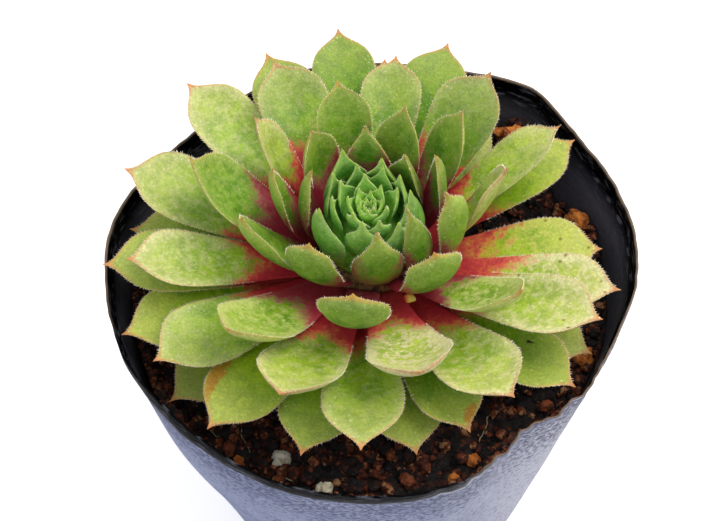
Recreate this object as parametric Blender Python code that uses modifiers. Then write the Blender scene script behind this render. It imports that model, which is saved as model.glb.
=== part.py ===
"""A houseleek rosette on its short stem, rooted in soil in a thin, soft nursery pot.

Metres, +Z up. The origin is the centre of the pot's underside, and the pot stands on Z = 0. The rosette has
its own frame at the collar, where the stem leaves the soil: its axis leans a little towards -Y.
Leaves are numbered from the growing point outwards, so leaf_21 is younger than leaf_76.
"""

import math
import random
from dataclasses import dataclass

import bmesh
import bpy
from mathutils import Vector, noise

MM = 0.001

# Pot: a soft film pot that measures about 91 mm across its rim
POT_HEIGHT = 76 * MM
RIM_RADIUS = 45.6 * MM
BASE_RADIUS = 31 * MM
POT_WALL = 0.6 * MM
RIM_BAND = 3 * MM
RIM_LIP = 0.3 * MM
FOOT_CORNER = 1 * MM
WALL_HEIGHTS = (58 * MM, 40 * MM, 21 * MM, 4 * MM)
POT_SIDES = 60
DRAIN_RADIUS = 3.5 * MM
DRAIN_CIRCLE = 19 * MM
DRAIN_COUNT = 5
# Where the soft wall is pressed out (+) or in (-): azimuth and half width in degrees, depth at the rim
DENTS = (
    (51, 12, 3.2 * MM),
    (135, 20, -2.4 * MM),
    (172, 12, 0.8 * MM),
    (304, 12, -3.6 * MM),
    (332, 16, -2.2 * MM),
)

# Every piece keeps this far from what carries it
GAP = 0.3 * MM

# Soil
SOIL_EDGE = 60.8 * MM
SOIL_MOUND = 4.2 * MM
MOUND_RADIUS = 17 * MM
SOIL_FLOOR = POT_WALL + GAP
SOIL_ROUGHNESS = 0.5 * MM
SOIL_SIDES = 48

# Rosette: where it leaves the soil, how far its axis leans, and how its leaves follow each other (degrees)
COLLAR = Vector((-0.5 * MM, 4.6 * MM, 66 * MM))
LEAN = math.radians(4)
GOLDEN_ANGLE = 137.508
FIRST_AZIMUTH = 266.73
OLDEST_IN_HEART = 20
OLDEST_LEAF = 79
HEART_ROOT = 0.8 * MM
HEART_SIDES = 20
# The bud's own core and the top of the root, as (radius, height) from the bud's foot and from the collar
HEART_CORE = (
    (0, 9.4 * MM),
    (2.1 * MM, 8.4 * MM),
    (5.1 * MM, 4.9 * MM),
    (6.9 * MM, 2.5 * MM),
    (7.7 * MM, 0.5 * MM),
    (7.8 * MM, 0),
)
ROOT_STOCK = ((7.6 * MM, -2 * MM), (5.4 * MM, -7 * MM), (2.6 * MM, -12 * MM))
STEM_SIDES = 32
WITHERED = {61, 71, 74, 75, 77, 78}

# How leaves are built with age: leaf number (below 0 in the growing point), the stem's radius and height where it
# grows (mm), then its length, greatest half width and thickness (mm), its rise above the level at base, middle
# and tip (degrees), how high its margins stand above its rib (share of the half width), and the power that draws
# out its pointed end
AGES = (
    (-14, 0.3, 19.4, 2.2, 0.7, 0.3, 60, 78, 84, 0.3, 0.34),
    (0, 2.4, 17.8, 4.2, 1.3, 0.5, 58, 78, 84, 0.3, 0.34),
    (10, 5.4, 14.2, 8.7, 2.6, 0.8, 56, 82, 86, 0.3, 0.34),
    (21, 8.6, 9.4, 17.5, 5.6, 1.3, 50, 96, 106, 0.3, 0.4),
    (28, 9.0, 8.2, 21.5, 6.1, 1.5, 34, 80, 106, 0.25, 0.5),
    (34, 9.2, 6.8, 26.0, 6.3, 1.7, 26, 62, 100, 0.28, 0.65),
    (42, 9.2, 5.4, 30.5, 6.6, 1.9, 18, 38, 50, 0.32, 1),
    (50, 9.2, 4.0, 35.0, 6.8, 2.0, 12, 23, 24, 0.3, 1),
    (60, 9.2, 2.8, 37.5, 6.7, 2.0, 10, 16, 10, 0.2, 0.95),
    (70, 9.2, 1.6, 35.0, 6.4, 1.8, 6, 9, 0, 0.15, 0.9),
    (81, 9.2, 0.6, 32.5, 6.2, 1.6, 2, 4, -6, 0.1, 0.9),
)
# How single leaves stray from the rule: turn about the stem (degrees), extra rise (degrees), share of length,
# share of width, how far the far end is rolled about its rib and how much further its tip rises (degrees), and
# how much blunter its end is
HABITS = {
    10: (-16, 4, 1.03), 12: (-10, 8, 1.02), 13: (5, 9, 1.08), 14: (-3, 12, 1.05), 15: (-22, 7, 1.03),
    17: (-15, 8, 0.97), 18: (-16, -4, 1.02, 1.1, 10), 19: (-5, 10, 0.99, 0.95, -10), 20: (-18, 1, 1, 0.9),
    21: (3, -1, 1, 0.87), 22: (-8, 5, 0.97, 0.8, -10, -10), 23: (-24, 2, 1.04, 0.72, 20),
    24: (-8, 10, 1.01, 0.53, -25), 25: (-14, -6, 0.85, 0.8, 0, -25), 26: (-13, -18, 1, 1, 28, 30, 2),
    27: (3, 4, 1, 0.65, -25), 28: (12, -7, 1, 0.75, 30), 29: (12, -16, 1, 0.98, -24, 30, 2),
    30: (-4, -6, 0.89, 0.8, -15, -25), 31: (-11, -13, 1.07, 0.9, 25), 32: (-4, 17, 1, 0.65, -35),
    33: (1, 9, 0.77, 0.75, 20, -20), 34: (0, -10, 1, 0.98, 0, 25, 2.2), 35: (3, -2, 0.91, 0.75, -20, -15),
    36: (-9, -16, 1.11, 1, 10), 37: (5, -18, 1.08, 0.8, -15, 10), 38: (9, 5, 0.84, 0.8, 0, -25),
    39: (-2, -15, 1.11, 1, 10, 15), 40: (0, 16, 0.87, 0.7, -40), 41: (-6, 10, 0.83, 0.65, 35),
    42: (0, -5, 1.05, 1.1, 0, 20), 43: (-10, -1, 0.99), 44: (-6, -12, 1.1, 0.88), 45: (-6, -9, 1.14, 0.92),
    46: (4, -2, 0.95), 47: (-2, 3, 1.04, 1.05, 5, 15), 48: (0, 0, 0.95, 0.8, -25), 49: (1, -1, 1.07),
    50: (-1, 3, 1.03, 1, 0, 5), 51: (1, -1, 0.8, 0.7), 52: (-2, -3, 1.01, 0.98), 53: (-13, -4, 1, 0.82),
    54: (5, 5, 1.03, 0.92), 55: (-3, 4, 0.97), 56: (4, 0, 0.7), 57: (2, -2, 1.02, 0.95),
    58: (-5, -4, 0.97, 0.85), 59: (-4, 0, 1.02, 0.91), 60: (-4, -1, 0.98, 0.98), 62: (1, -5, 0.75, 0.9),
    63: (2, 4, 0.88, 0.86), 64: (2, 2, 1.03, 0.98), 65: (-2, 2, 1.02), 66: (16, -3, 0.89), 67: (-6, 6, 1.05),
    68: (-4, 6, 0.95), 69: (-6, 4, 1, 0.93), 70: (0, 1, 0.98), 72: (-3, 5, 0.93), 73: (-6, -1, 1.02),
    76: (2, 8, 0.94), 79: (2, 0, 1.02),
}
# Half width along a leaf as a share of its greatest, with the drawn-out point at the end
OUTLINE = (
    (0, 0.46), (0.15, 0.53), (0.3, 0.63), (0.45, 0.78), (0.6, 0.92), (0.72, 1), (0.8, 0.97), (0.86, 0.82),
    (0.9, 0.58), (0.93, 0.32), (0.955, 0.14), (0.975, 0.06), (1, 0),
)
# Thickness along a leaf as a share of its greatest
FLESH = ((0, 0.55), (0.25, 0.8), (0.5, 1), (0.72, 0.9), (0.87, 0.6), (0.95, 0.35), (1, 0))
# How much of the thickness lies above the rib, and where the sections are cut along and across a leaf
UPPER_SHARE = 0.35
STATIONS = (0, 0.14, 0.3, 0.46, 0.6, 0.71, 0.81, 0.88, 0.93, 0.965, 1)
HEART_STATIONS = (0, 0.3, 0.55, 0.75, 0.88, 0.95, 1)
ACROSS = (-1, -0.55, 0, 0.55, 1)
RIB_STEPS = 100

# Loose grains lying on the soil: azimuth about the pot's axis, distance from it, radius and colour
GRAINS = {
    "grain_clay_brown": (13, 39.2 * MM, 2.6 * MM, (0.20, 0.09, 0.03)),
    "grain_clay_orange": (22, 38.2 * MM, 2 * MM, (0.45, 0.16, 0.03)),
    "grain_pumice": (242, 35.2 * MM, 1.8 * MM, (0.75, 0.68, 0.55)),
}


def curve_value(points, x):
    """The height at x of a smooth curve through the points that never overshoots them."""
    xs = [p[0] for p in points]
    ys = [p[1] for p in points]
    x = min(max(x, xs[0]), xs[-1])
    slopes = [(ys[i + 1] - ys[i]) / (xs[i + 1] - xs[i]) for i in range(len(xs) - 1)]
    tangents = [slopes[0]]
    for i in range(1, len(slopes)):
        before, after = slopes[i - 1], slopes[i]
        if before * after <= 0:
            tangents.append(0)
            continue
        left, right = xs[i] - xs[i - 1], xs[i + 1] - xs[i]
        near, far = 2 * right + left, right + 2 * left
        tangents.append((near + far) / (near / before + far / after))
    tangents.append(slopes[-1])
    i = min(sum(1 for value in xs[1:] if value <= x), len(slopes) - 1)
    width = xs[i + 1] - xs[i]
    t = (x - xs[i]) / width
    return (
        ys[i] * (1 + 2 * t) * (1 - t) ** 2
        + tangents[i] * width * t * (1 - t) ** 2
        + ys[i + 1] * t * t * (3 - 2 * t)
        + tangents[i + 1] * width * t * t * (t - 1)
    )


def age_value(number, column):
    """One column of AGES read at a leaf number."""
    return curve_value([(row[0], row[column]) for row in AGES], number)


@dataclass
class Leaf:
    """One leaf's place and build, in the rosette's frame."""

    azimuth: float
    base_radius: float
    base_height: float
    length: float
    half_width: float
    thickness: float
    rise: tuple
    cup: float
    taper: float
    roll: float

    def rib(self):
        """Points (radius, height, rise) down the middle of the leaf, from base to tip."""
        step = self.length / RIB_STEPS
        angles = [
            math.radians(curve_value(tuple(zip((0, 0.5, 1), self.rise)), i / RIB_STEPS))
            for i in range(RIB_STEPS + 1)
        ]
        radius, height = self.base_radius, self.base_height
        points = [(radius, height, angles[0])]
        for before, after in zip(angles, angles[1:]):
            radius += step * math.cos((before + after) / 2)
            height += step * math.sin((before + after) / 2)
            points.append((radius, height, after))
        return points


def leaf_of(number):
    """The leaf of this number: the rule for its age, with its own habit."""
    radius, height, length, half_width, thickness = (age_value(number, i) * MM for i in range(1, 6))
    base, middle, tip = (age_value(number, i) for i in range(6, 9))
    habit = HABITS.get(number, ())
    turn, rise, stretch, broad, roll, curl, blunt = habit + (0, 0, 1, 1, 0, 0, 1)[len(habit) :]
    return Leaf(
        azimuth=math.radians(FIRST_AZIMUTH + number * GOLDEN_ANGLE + turn),
        base_radius=radius,
        base_height=height,
        length=length * stretch,
        half_width=half_width * broad,
        thickness=thickness,
        rise=(base, middle + rise, tip + rise + curl),
        cup=age_value(number, 9),
        taper=age_value(number, 10) * blunt,
        roll=math.radians(roll),
    )


def leaf_mesh(name, leaf, stations=STATIONS):
    """A fleshy leaf lofted along its rib: each section is a lens bent round the rosette's axis."""
    bm = bmesh.new()
    rib = leaf.rib()

    def point(station, across, lift):
        radius, height, rise = rib[round(station * RIB_STEPS)]
        reach = across * curve_value(OUTLINE, station**leaf.taper) * leaf.half_width
        flesh = leaf.thickness * curve_value(FLESH, station) * (1 - abs(across) ** 2.2) ** 0.7
        azimuth = leaf.azimuth + reach * math.cos(leaf.roll * station) / max(radius, 1 * MM)
        raised = lift * flesh + abs(reach * across) * leaf.cup * station
        raised += reach * math.sin(leaf.roll * station)
        radius -= raised * math.sin(rise)
        height += raised * math.cos(rise)
        return bm.verts.new((radius * math.cos(azimuth), radius * math.sin(azimuth), height))

    upper, lower = [], []
    for station in stations[:-1]:
        edges = [point(station, across, 0) for across in (ACROSS[0], ACROSS[-1])]
        for rows, lift in ((upper, UPPER_SHARE), (lower, UPPER_SHARE - 1)):
            rows.append([edges[0], *(point(station, a, lift) for a in ACROSS[1:-1]), edges[1]])
    tip = point(1, 0, 0)
    for top, bottom, next_top, next_bottom in zip(upper, lower, upper[1:], lower[1:]):
        for i in range(len(ACROSS) - 1):
            bm.faces.new((top[i], next_top[i], next_top[i + 1], top[i + 1]))
            bm.faces.new((bottom[i], bottom[i + 1], next_bottom[i + 1], next_bottom[i]))
    for i in range(len(ACROSS) - 1):
        bm.faces.new((upper[-1][i], tip, upper[-1][i + 1]))
        bm.faces.new((lower[-1][i + 1], tip, lower[-1][i]))
    bm.faces.new(upper[0] + lower[0][-2:0:-1])
    bmesh.ops.recalc_face_normals(bm, faces=bm.faces)
    return finished(bm, name)


def finished(bm, name):
    """The bmesh as a smooth-shaded mesh of this name."""
    mesh = bpy.data.meshes.new(name)
    bm.to_mesh(mesh)
    bm.free()
    mesh.shade_smooth()
    mesh.set_sharp_from_angle(angle=math.radians(50))
    return mesh


def material(name, colour, roughness):
    """A plain Principled finish; none of the object's materials is a metal."""
    made = bpy.data.materials.new(name)
    made.use_nodes = True
    shader = made.node_tree.nodes["Principled BSDF"]
    shader.inputs["Base Color"].default_value = (*colour, 1)
    shader.inputs["Roughness"].default_value = roughness
    shader.inputs["Metallic"].default_value = 0
    return made


def place(name, mesh, collection, finish=None, parent=None):
    """Makes the object, links it and gives it its material."""
    obj = bpy.data.objects.new(name, mesh)
    collection.objects.link(obj)
    obj.parent = parent
    if finish:
        mesh.materials.clear()
        mesh.materials.append(finish)
    return obj


def as_cutter(obj):
    """Marks an object that only cuts or joins others."""
    obj.hide_render = True
    obj.display_type = "WIRE"
    return obj


def boolean(obj, operation, other):
    """Cuts obj with, or joins it to, an object or a whole collection."""
    modifier = obj.modifiers.new(operation.title(), "BOOLEAN")
    modifier.operation = operation
    modifier.solver = "EXACT"
    if isinstance(other, bpy.types.Collection):
        modifier.operand_type = "COLLECTION"
        modifier.collection = other
    else:
        modifier.object = other


def turned(name, profile, sides, collection):
    """A profile of (radius, height) turned about Z, as a plain mesh."""
    mesh = bpy.data.meshes.new(name)
    edges = [(i, i + 1) for i in range(len(profile) - 1)]
    mesh.from_pydata([(radius, 0, height) for radius, height in profile], edges, [])
    obj = bpy.data.objects.new(name, mesh)
    collection.objects.link(obj)
    screw = obj.modifiers.new("Turn", "SCREW")
    screw.steps = screw.render_steps = sides
    screw.use_merge_vertices = True
    screw.merge_threshold = 0.00001
    screw.use_smooth_shade = True
    depsgraph = bpy.context.evaluated_depsgraph_get()
    whole = bpy.data.meshes.new_from_object(obj.evaluated_get(depsgraph))
    bpy.data.objects.remove(obj)
    bpy.data.meshes.remove(mesh)
    whole.name = name
    return whole


def squash(azimuth, height):
    """How far the soft pot stands out of round here, from nothing at its base to its most at the rim."""
    shift = 0
    for centre, half_width, depth in DENTS:
        away = (math.degrees(azimuth) - centre + 180) % 360 - 180
        shift += depth * math.exp(-((away / half_width) ** 2))
    return shift * (max(height, 0) / POT_HEIGHT) ** 1.5


def push_out_of_round(mesh):
    """Moves each vertex off the axis by the pot's squash."""
    for vertex in mesh.vertices:
        radius = math.hypot(vertex.co.x, vertex.co.y)
        if radius < BASE_RADIUS / 2:
            continue
        factor = 1 + squash(math.atan2(vertex.co.y, vertex.co.x), vertex.co.z) / radius
        vertex.co.x *= factor
        vertex.co.y *= factor


def wall_radius(height):
    """The outside radius of the round pot at a height."""
    return BASE_RADIUS + (RIM_RADIUS - BASE_RADIUS) * height / POT_HEIGHT


def make_pot(collection, cutters):
    """The thin tapered pot: rolled rim band, wall and flat floor with drain holes round a whole centre."""
    band = POT_HEIGHT - RIM_BAND
    profile = [(RIM_RADIUS, POT_HEIGHT), (wall_radius(band) + RIM_LIP, band)]
    profile += [(wall_radius(height), height) for height in (band - RIM_LIP, *WALL_HEIGHTS)]
    profile += [(BASE_RADIUS, FOOT_CORNER), (BASE_RADIUS - FOOT_CORNER, 0), (DRAIN_CIRCLE, 0), (0, 0)]
    mesh = turned("pot", profile, POT_SIDES, collection)
    push_out_of_round(mesh)
    mesh.set_sharp_from_angle(angle=math.radians(50))
    pot = place("pot", mesh, collection, material("pot_film", (0.10, 0.11, 0.16), 0.5))
    skin = pot.modifiers.new("Wall", "SOLIDIFY")
    skin.thickness = POT_WALL
    skin.offset = -1
    skin.use_even_offset = True
    for i in range(DRAIN_COUNT):
        angle = 2 * math.pi * (i + 0.5) / DRAIN_COUNT
        bpy.ops.mesh.primitive_cylinder_add(
            vertices=20,
            radius=DRAIN_RADIUS,
            depth=8 * POT_WALL,
            location=(DRAIN_CIRCLE * math.cos(angle), DRAIN_CIRCLE * math.sin(angle), 0),
        )
        hole = as_cutter(bpy.context.object)
        hole.name = f"drain_cutter_{i + 1}"
        move_to(hole, cutters)
        boolean(pot, "DIFFERENCE", hole)
    return pot


def move_to(obj, collection):
    """Takes an object out of the collection it was made in and puts it in this one."""
    for held_in in list(obj.users_collection):
        held_in.objects.unlink(obj)
    collection.objects.link(obj)


def stem_profile(clearance=0.0):
    """The stem from its tip down through the collar to the end of the root stock."""
    ages = (OLDEST_IN_HEART + 2, 28, 34, 42, 50, 60, 70, 81)
    grown = [(age_value(n, 1) * MM - GAP, age_value(n, 2) * MM) for n in ages]
    profile = [(0, grown[0][1])] + [(radius + clearance, height) for radius, height in (*grown, *ROOT_STOCK)]
    return profile + [(0, ROOT_STOCK[-1][1] - clearance)]


def make_stem(collection, rosette):
    """The short thick stem that carries the leaves, with the top of the root below it."""
    mesh = turned("stem", stem_profile(), STEM_SIDES, collection)
    return place("stem", mesh, collection, material("stem_bark", (0.20, 0.11, 0.06), 0.8), rosette)


def soil_top(x, y):
    """Height of the soil: level at the wall, mounded up to the collar, and crumbly."""
    away = math.hypot(x - COLLAR.x, y - COLLAR.y) / MOUND_RADIUS
    crumbs = noise.fractal(Vector((x, y, 0)) / (4 * MM), 0.6, 2, 3)
    return SOIL_EDGE + SOIL_MOUND * math.exp(-(away**2)) + SOIL_ROUGHNESS * crumbs


def make_soil(collection, cutters, rosette):
    """The soil fills the pot up to a crumbly mound, with a socket for the root."""
    inset = POT_WALL + GAP
    rings = [40 * MM * share for share in (0.2, 0.34, 0.48, 0.62, 0.75, 0.87)]
    side = [(wall_radius(height) - inset, height) for height in WALL_HEIGHTS]
    top = SOIL_EDGE
    profile = [(0, top)] + [(radius, top) for radius in rings]
    profile += [(wall_radius(top) - inset, top), *side]
    profile += [(BASE_RADIUS - inset - FOOT_CORNER, SOIL_FLOOR), (0, SOIL_FLOOR)]
    mesh = turned("soil", profile, SOIL_SIDES, collection)
    push_out_of_round(mesh)
    for vertex in mesh.vertices:
        if abs(vertex.co.z - top) < 0.01 * MM:
            vertex.co.z = soil_top(vertex.co.x, vertex.co.y)
    soil = place("soil", mesh, collection, material("soil_mix", (0.05, 0.028, 0.018), 0.95))
    socket_mesh = turned("root_socket_cutter", stem_profile(GAP), STEM_SIDES, collection)
    boolean(soil, "DIFFERENCE", as_cutter(place("root_socket_cutter", socket_mesh, cutters, parent=rosette)))
    return soil


def make_heart(collection, cutters, rosette, finish):
    """The youngest leaves, grown together at the growing point as one bud."""
    folds = bpy.data.collections.new("heart_leaves")
    cutters.children.link(folds)
    for number in range(2, OLDEST_IN_HEART + 1):
        name = f"heart_leaf_{number}"
        leaf = leaf_of(number)
        leaf.base_radius = max(leaf.base_radius - HEART_ROOT, 0.2 * MM)
        as_cutter(place(name, leaf_mesh(name, leaf, HEART_STATIONS), folds, parent=rosette))
    foot = age_value(OLDEST_IN_HEART + 2, 2) * MM + GAP
    core = [(radius, foot + height) for radius, height in HEART_CORE]
    mesh = turned("bud", core + [(0, foot)], HEART_SIDES, collection)
    bud = place("bud", mesh, collection, finish, rosette)
    boolean(bud, "UNION", folds)
    return bud


def make_leaf(number, collection, rosette):
    """One free leaf; the older it is, the paler and yellower."""
    name = f"leaf_{number}"
    share = (number - OLDEST_IN_HEART) / (OLDEST_LEAF - OLDEST_IN_HEART)
    young, old = Vector((0.10, 0.24, 0.06)), Vector((0.26, 0.38, 0.09))
    finish = material(f"{name}_skin", tuple(young.lerp(old, share)), 0.45)
    return place(name, leaf_mesh(name, leaf_of(number)), collection, finish, rosette)


def make_grain(name, azimuth, distance, radius, colour, collection):
    """A lump of burnt clay or pumice that lies on the soil."""
    x, y = distance * math.cos(math.radians(azimuth)), distance * math.sin(math.radians(azimuth))
    dice = random.Random(name)
    bm = bmesh.new()
    bmesh.ops.create_icosphere(bm, subdivisions=2, radius=radius)
    for vertex in bm.verts:
        vertex.co *= 1 + dice.uniform(-0.12, 0.08)
        vertex.co.z *= 0.85
    ground = max(soil_top(x + v.co.x, y + v.co.y) - v.co.z for v in bm.verts)
    grain = place(name, finished(bm, name), collection, material(f"{name}_skin", colour, 0.9))
    grain.location = (x, y, ground + GAP)
    return grain


def main():
    """Builds the whole plant in its pot."""
    for obj in list(bpy.data.objects):
        bpy.data.objects.remove(obj, do_unlink=True)
    parts = bpy.data.collections.new("potted_houseleek")
    cutters = bpy.data.collections.new("cutters")
    for collection in (parts, cutters):
        bpy.context.scene.collection.children.link(collection)
    rosette = bpy.data.objects.new("rosette_frame", None)
    parts.objects.link(rosette)
    rosette.location = COLLAR
    rosette.rotation_euler = (LEAN, 0, 0)
    bpy.context.view_layer.update()
    make_pot(parts, cutters)
    make_soil(parts, cutters, rosette)
    make_stem(parts, rosette)
    make_heart(parts, cutters, rosette, material("bud_skin", (0.16, 0.30, 0.07), 0.45))
    for number in range(OLDEST_IN_HEART + 1, OLDEST_LEAF + 1):
        if number not in WITHERED:
            make_leaf(number, parts, rosette)
    for name, (azimuth, distance, radius, colour) in GRAINS.items():
        make_grain(name, azimuth, distance, radius, colour, parts)


main()
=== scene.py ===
"""Looks of the potted houseleek: a rosette of fleshy, fringed leaves in soil in a soft film pot.

Metres, +Z up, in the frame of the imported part: the pot stands on Z = 0 and its axis is Z. The growth law of
the leaves and the outline of the pot repeat the design values of the part's source, so each dressed piece
lies on the solid that it stands for.
"""

import logging
import math
import random
from dataclasses import dataclass, field, replace
from enum import Enum
from typing import Any, Iterable, Sequence

import bmesh
import bpy
import numpy as np
from mathutils import Matrix, Vector, noise


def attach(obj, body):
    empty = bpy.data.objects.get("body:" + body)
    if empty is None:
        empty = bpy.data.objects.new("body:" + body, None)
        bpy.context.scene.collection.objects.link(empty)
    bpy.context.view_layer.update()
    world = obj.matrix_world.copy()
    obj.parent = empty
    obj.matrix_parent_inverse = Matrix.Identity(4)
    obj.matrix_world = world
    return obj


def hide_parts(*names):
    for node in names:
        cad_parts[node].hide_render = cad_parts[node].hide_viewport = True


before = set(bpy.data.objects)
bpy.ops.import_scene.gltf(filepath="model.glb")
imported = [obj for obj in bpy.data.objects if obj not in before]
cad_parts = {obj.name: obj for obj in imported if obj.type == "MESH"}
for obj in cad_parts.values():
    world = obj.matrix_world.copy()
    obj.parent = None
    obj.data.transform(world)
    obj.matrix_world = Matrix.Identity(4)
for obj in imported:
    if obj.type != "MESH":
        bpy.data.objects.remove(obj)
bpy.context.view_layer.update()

MM = 0.001
ROOT = "root"
log = logging.getLogger("houseleek")

Points = np.ndarray
Curve = Sequence[tuple[float, float]]
Material = bpy.types.Material
Socket = bpy.types.NodeSocket

# Setting of a range node that eases in and out of its limits
EASED = {"interpolation_type": "SMOOTHSTEP"}

# Rosette: where it leaves the soil, how far its axis leans, and how its leaves follow each other. The leaf of
# number 0 grew first after the growing point, and the numbers rise with age.
COLLAR = Vector((-0.5 * MM, 4.6 * MM, 66 * MM))
LEAN = math.radians(4)
GOLDEN_ANGLE = 137.508
FIRST_AZIMUTH = 266.73
YOUNGEST_LEAF = -14
OLDEST_IN_HEART = 20
OLDEST_UPRIGHT = 33
OLDEST_YOUNG = 39
OLDEST_GROWN = 56
OLDEST_LEAF = 79
HEART_ROOT = 0.8 * MM
# The cone of young tissue inside the heart, as radius and height in mm
HEART_CORE = ((2.1, 8.4), (5.1, 4.9), (6.9, 2.5), (7.7, 0.5), (7.8, 0))
WITHERED = {61, 71, 74, 75, 77, 78}

# Leaf number (below 0 in the growing point), the stem's radius and height where it grows (mm), the leaf's
# length, greatest half width and thickness (mm), its rise above the level at base, middle and tip (degrees),
# how high its margins stand above its rib (share of the half width), and the power that draws out its end
AGES = (
    (-14, 0.3, 19.4, 2.2, 0.7, 0.3, 60, 78, 84, 0.3, 0.34),
    (0, 2.4, 17.8, 4.2, 1.3, 0.5, 58, 78, 84, 0.3, 0.34),
    (10, 5.4, 14.2, 8.7, 2.6, 0.8, 56, 82, 86, 0.3, 0.34),
    (21, 8.6, 9.4, 17.5, 5.6, 1.3, 50, 96, 106, 0.3, 0.4),
    (28, 9.0, 8.2, 21.5, 6.1, 1.5, 34, 80, 106, 0.25, 0.5),
    (34, 9.2, 6.8, 26.0, 6.3, 1.7, 26, 62, 100, 0.28, 0.65),
    (42, 9.2, 5.4, 30.5, 6.6, 1.9, 18, 38, 50, 0.32, 1),
    (50, 9.2, 4.0, 35.0, 6.8, 2.0, 12, 23, 24, 0.3, 1),
    (60, 9.2, 2.8, 37.5, 6.7, 2.0, 10, 16, 10, 0.2, 0.95),
    (70, 9.2, 1.6, 35.0, 6.4, 1.8, 6, 9, 0, 0.15, 0.9),
    (81, 9.2, 0.6, 32.5, 6.2, 1.6, 2, 4, -6, 0.1, 0.9),
)
# How single leaves stray from the rule: turn about the stem (degrees), extra rise (degrees), share of length,
# share of width, how far the far end is rolled about its rib and how much further its tip rises (degrees),
# and how much blunter its end is. A habit may stop early, and REGULAR then gives the rest.
HABITS = {
    10: (-16, 4, 1.03), 12: (-10, 8, 1.02), 13: (5, 9, 1.08), 14: (-3, 12, 1.05), 15: (-22, 7, 1.03),
    17: (-15, 8, 0.97), 18: (-16, -4, 1.02, 1.1, 10), 19: (-5, 10, 0.99, 0.95, -10), 20: (-18, 1, 1, 0.9),
    21: (3, -1, 1, 0.87), 22: (-8, 5, 0.97, 0.8, -10, -10), 23: (-24, 2, 1.04, 0.72, 20),
    24: (-8, 10, 1.01, 0.53, -25), 25: (-14, -6, 0.85, 0.8, 0, -25), 26: (-13, -18, 1, 1, 28, 30, 2),
    27: (3, 4, 1, 0.65, -25), 28: (12, -7, 1, 0.75, 30), 29: (12, -16, 1, 0.98, -24, 30, 2),
    30: (-4, -6, 0.89, 0.8, -15, -25), 31: (-11, -13, 1.07, 0.9, 25), 32: (-4, 17, 1, 0.65, -35),
    33: (1, 9, 0.77, 0.75, 20, -20), 34: (0, -10, 1, 0.98, 0, 25, 2.2), 35: (3, -2, 0.91, 0.75, -20, -15),
    36: (-9, -16, 1.11, 1, 10), 37: (5, -18, 1.08, 0.8, -15, 10), 38: (9, 5, 0.84, 0.8, 0, -25),
    39: (-2, -15, 1.11, 1, 10, 15), 40: (0, 16, 0.87, 0.7, -40), 41: (-6, 10, 0.83, 0.65, 35),
    42: (0, -5, 1.05, 1.1, 0, 20), 43: (-10, -1, 0.99), 44: (-6, -12, 1.1, 0.88), 45: (-6, -9, 1.14, 0.92),
    46: (4, -2, 0.95), 47: (-2, 3, 1.04, 1.05, 5, 15), 48: (0, 0, 0.95, 0.8, -25), 49: (1, -1, 1.07),
    50: (-1, 3, 1.03, 1, 0, 5), 51: (1, -1, 0.8, 0.7), 52: (-2, -3, 1.01, 0.98), 53: (-13, -4, 1, 0.82),
    54: (5, 5, 1.03, 0.92), 55: (-3, 4, 0.97), 56: (4, 0, 0.7), 57: (2, -2, 1.02, 0.95),
    58: (-5, -4, 0.97, 0.85), 59: (-4, 0, 1.02, 0.91), 60: (-4, -1, 0.98, 0.98), 62: (1, -5, 0.75, 0.9),
    63: (2, 4, 0.88, 0.86), 64: (2, 2, 1.03, 0.98), 65: (-2, 2, 1.02), 66: (16, -3, 0.89), 67: (-6, 6, 1.05),
    68: (-4, 6, 0.95), 69: (-6, 4, 1, 0.93), 70: (0, 1, 0.98), 72: (-3, 5, 0.93), 73: (-6, -1, 1.02),
    76: (2, 8, 0.94), 79: (2, 0, 1.02),
}
REGULAR = (0, 0, 1, 1, 0, 0, 1)
# Half width along a leaf: share of the length, share of the greatest half width
OUTLINE = (
    (0, 0.46), (0.15, 0.53), (0.3, 0.63), (0.45, 0.78), (0.6, 0.92), (0.72, 1), (0.8, 0.97), (0.86, 0.82),
    (0.9, 0.58), (0.93, 0.32), (0.955, 0.14), (0.975, 0.06), (1, 0),
)
# The youngest leaves are drawn out into a claw from halfway up
CLAW_OUTLINE = (
    (0, 0.8), (0.25, 0.95), (0.4, 1), (0.52, 0.88), (0.62, 0.58), (0.7, 0.34), (0.8, 0.18), (0.92, 0.09),
    (1, 0),
)
# Thickness along a leaf, in the same way, and the share of it that lies above the leaf's middle sheet
FLESH = ((0, 0.55), (0.25, 0.8), (0.5, 1), (0.72, 0.9), (0.87, 0.6), (0.95, 0.35), (1, 0))
UPPER_SHARE = 0.35
RIB_STEPS = 100

# Pot
POT_HEIGHT = 76 * MM
RIM_RADIUS = 45.6 * MM
BASE_RADIUS = 31 * MM
FOOT_CORNER = 1 * MM
RIM_BAND = 3 * MM
RIM_LIP = 0.3 * MM
DRAIN_RADIUS = 3.5 * MM
DRAIN_CIRCLE = 19 * MM
DRAIN_COUNT = 5
# Where the soft wall is pressed out (+) or in (-): azimuth and half width in degrees, depth at the rim
DENTS = (
    (51, 12, 3.2 * MM),
    (135, 20, -2.4 * MM),
    (172, 12, 0.8 * MM),
    (304, 12, -3.6 * MM),
    (332, 16, -2.2 * MM),
)

# Soil
SOIL_EDGE = 60.8 * MM
SOIL_MOUND = 4.2 * MM
MOUND_RADIUS = 17 * MM
SOIL_ROUGHNESS = 0.5 * MM


class Growth(Enum):
    """The stages of a leaf's life, from the growing point outwards, with the record's slot for each."""

    HEART = "bud"
    YOUNG = "leaf_young"
    GROWN = "leaf_grown"
    OLD = "leaf_old"

    @classmethod
    def of(cls, number: int) -> "Growth":
        """Tells the stage of a leaf.

        Args:
            number: The leaf's place in the spiral.

        Returns:
            Its stage.
        """
        if number <= OLDEST_IN_HEART:
            return cls.HEART
        if number <= OLDEST_YOUNG:
            return cls.YOUNG
        return cls.GROWN if number <= OLDEST_GROWN else cls.OLD


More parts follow.
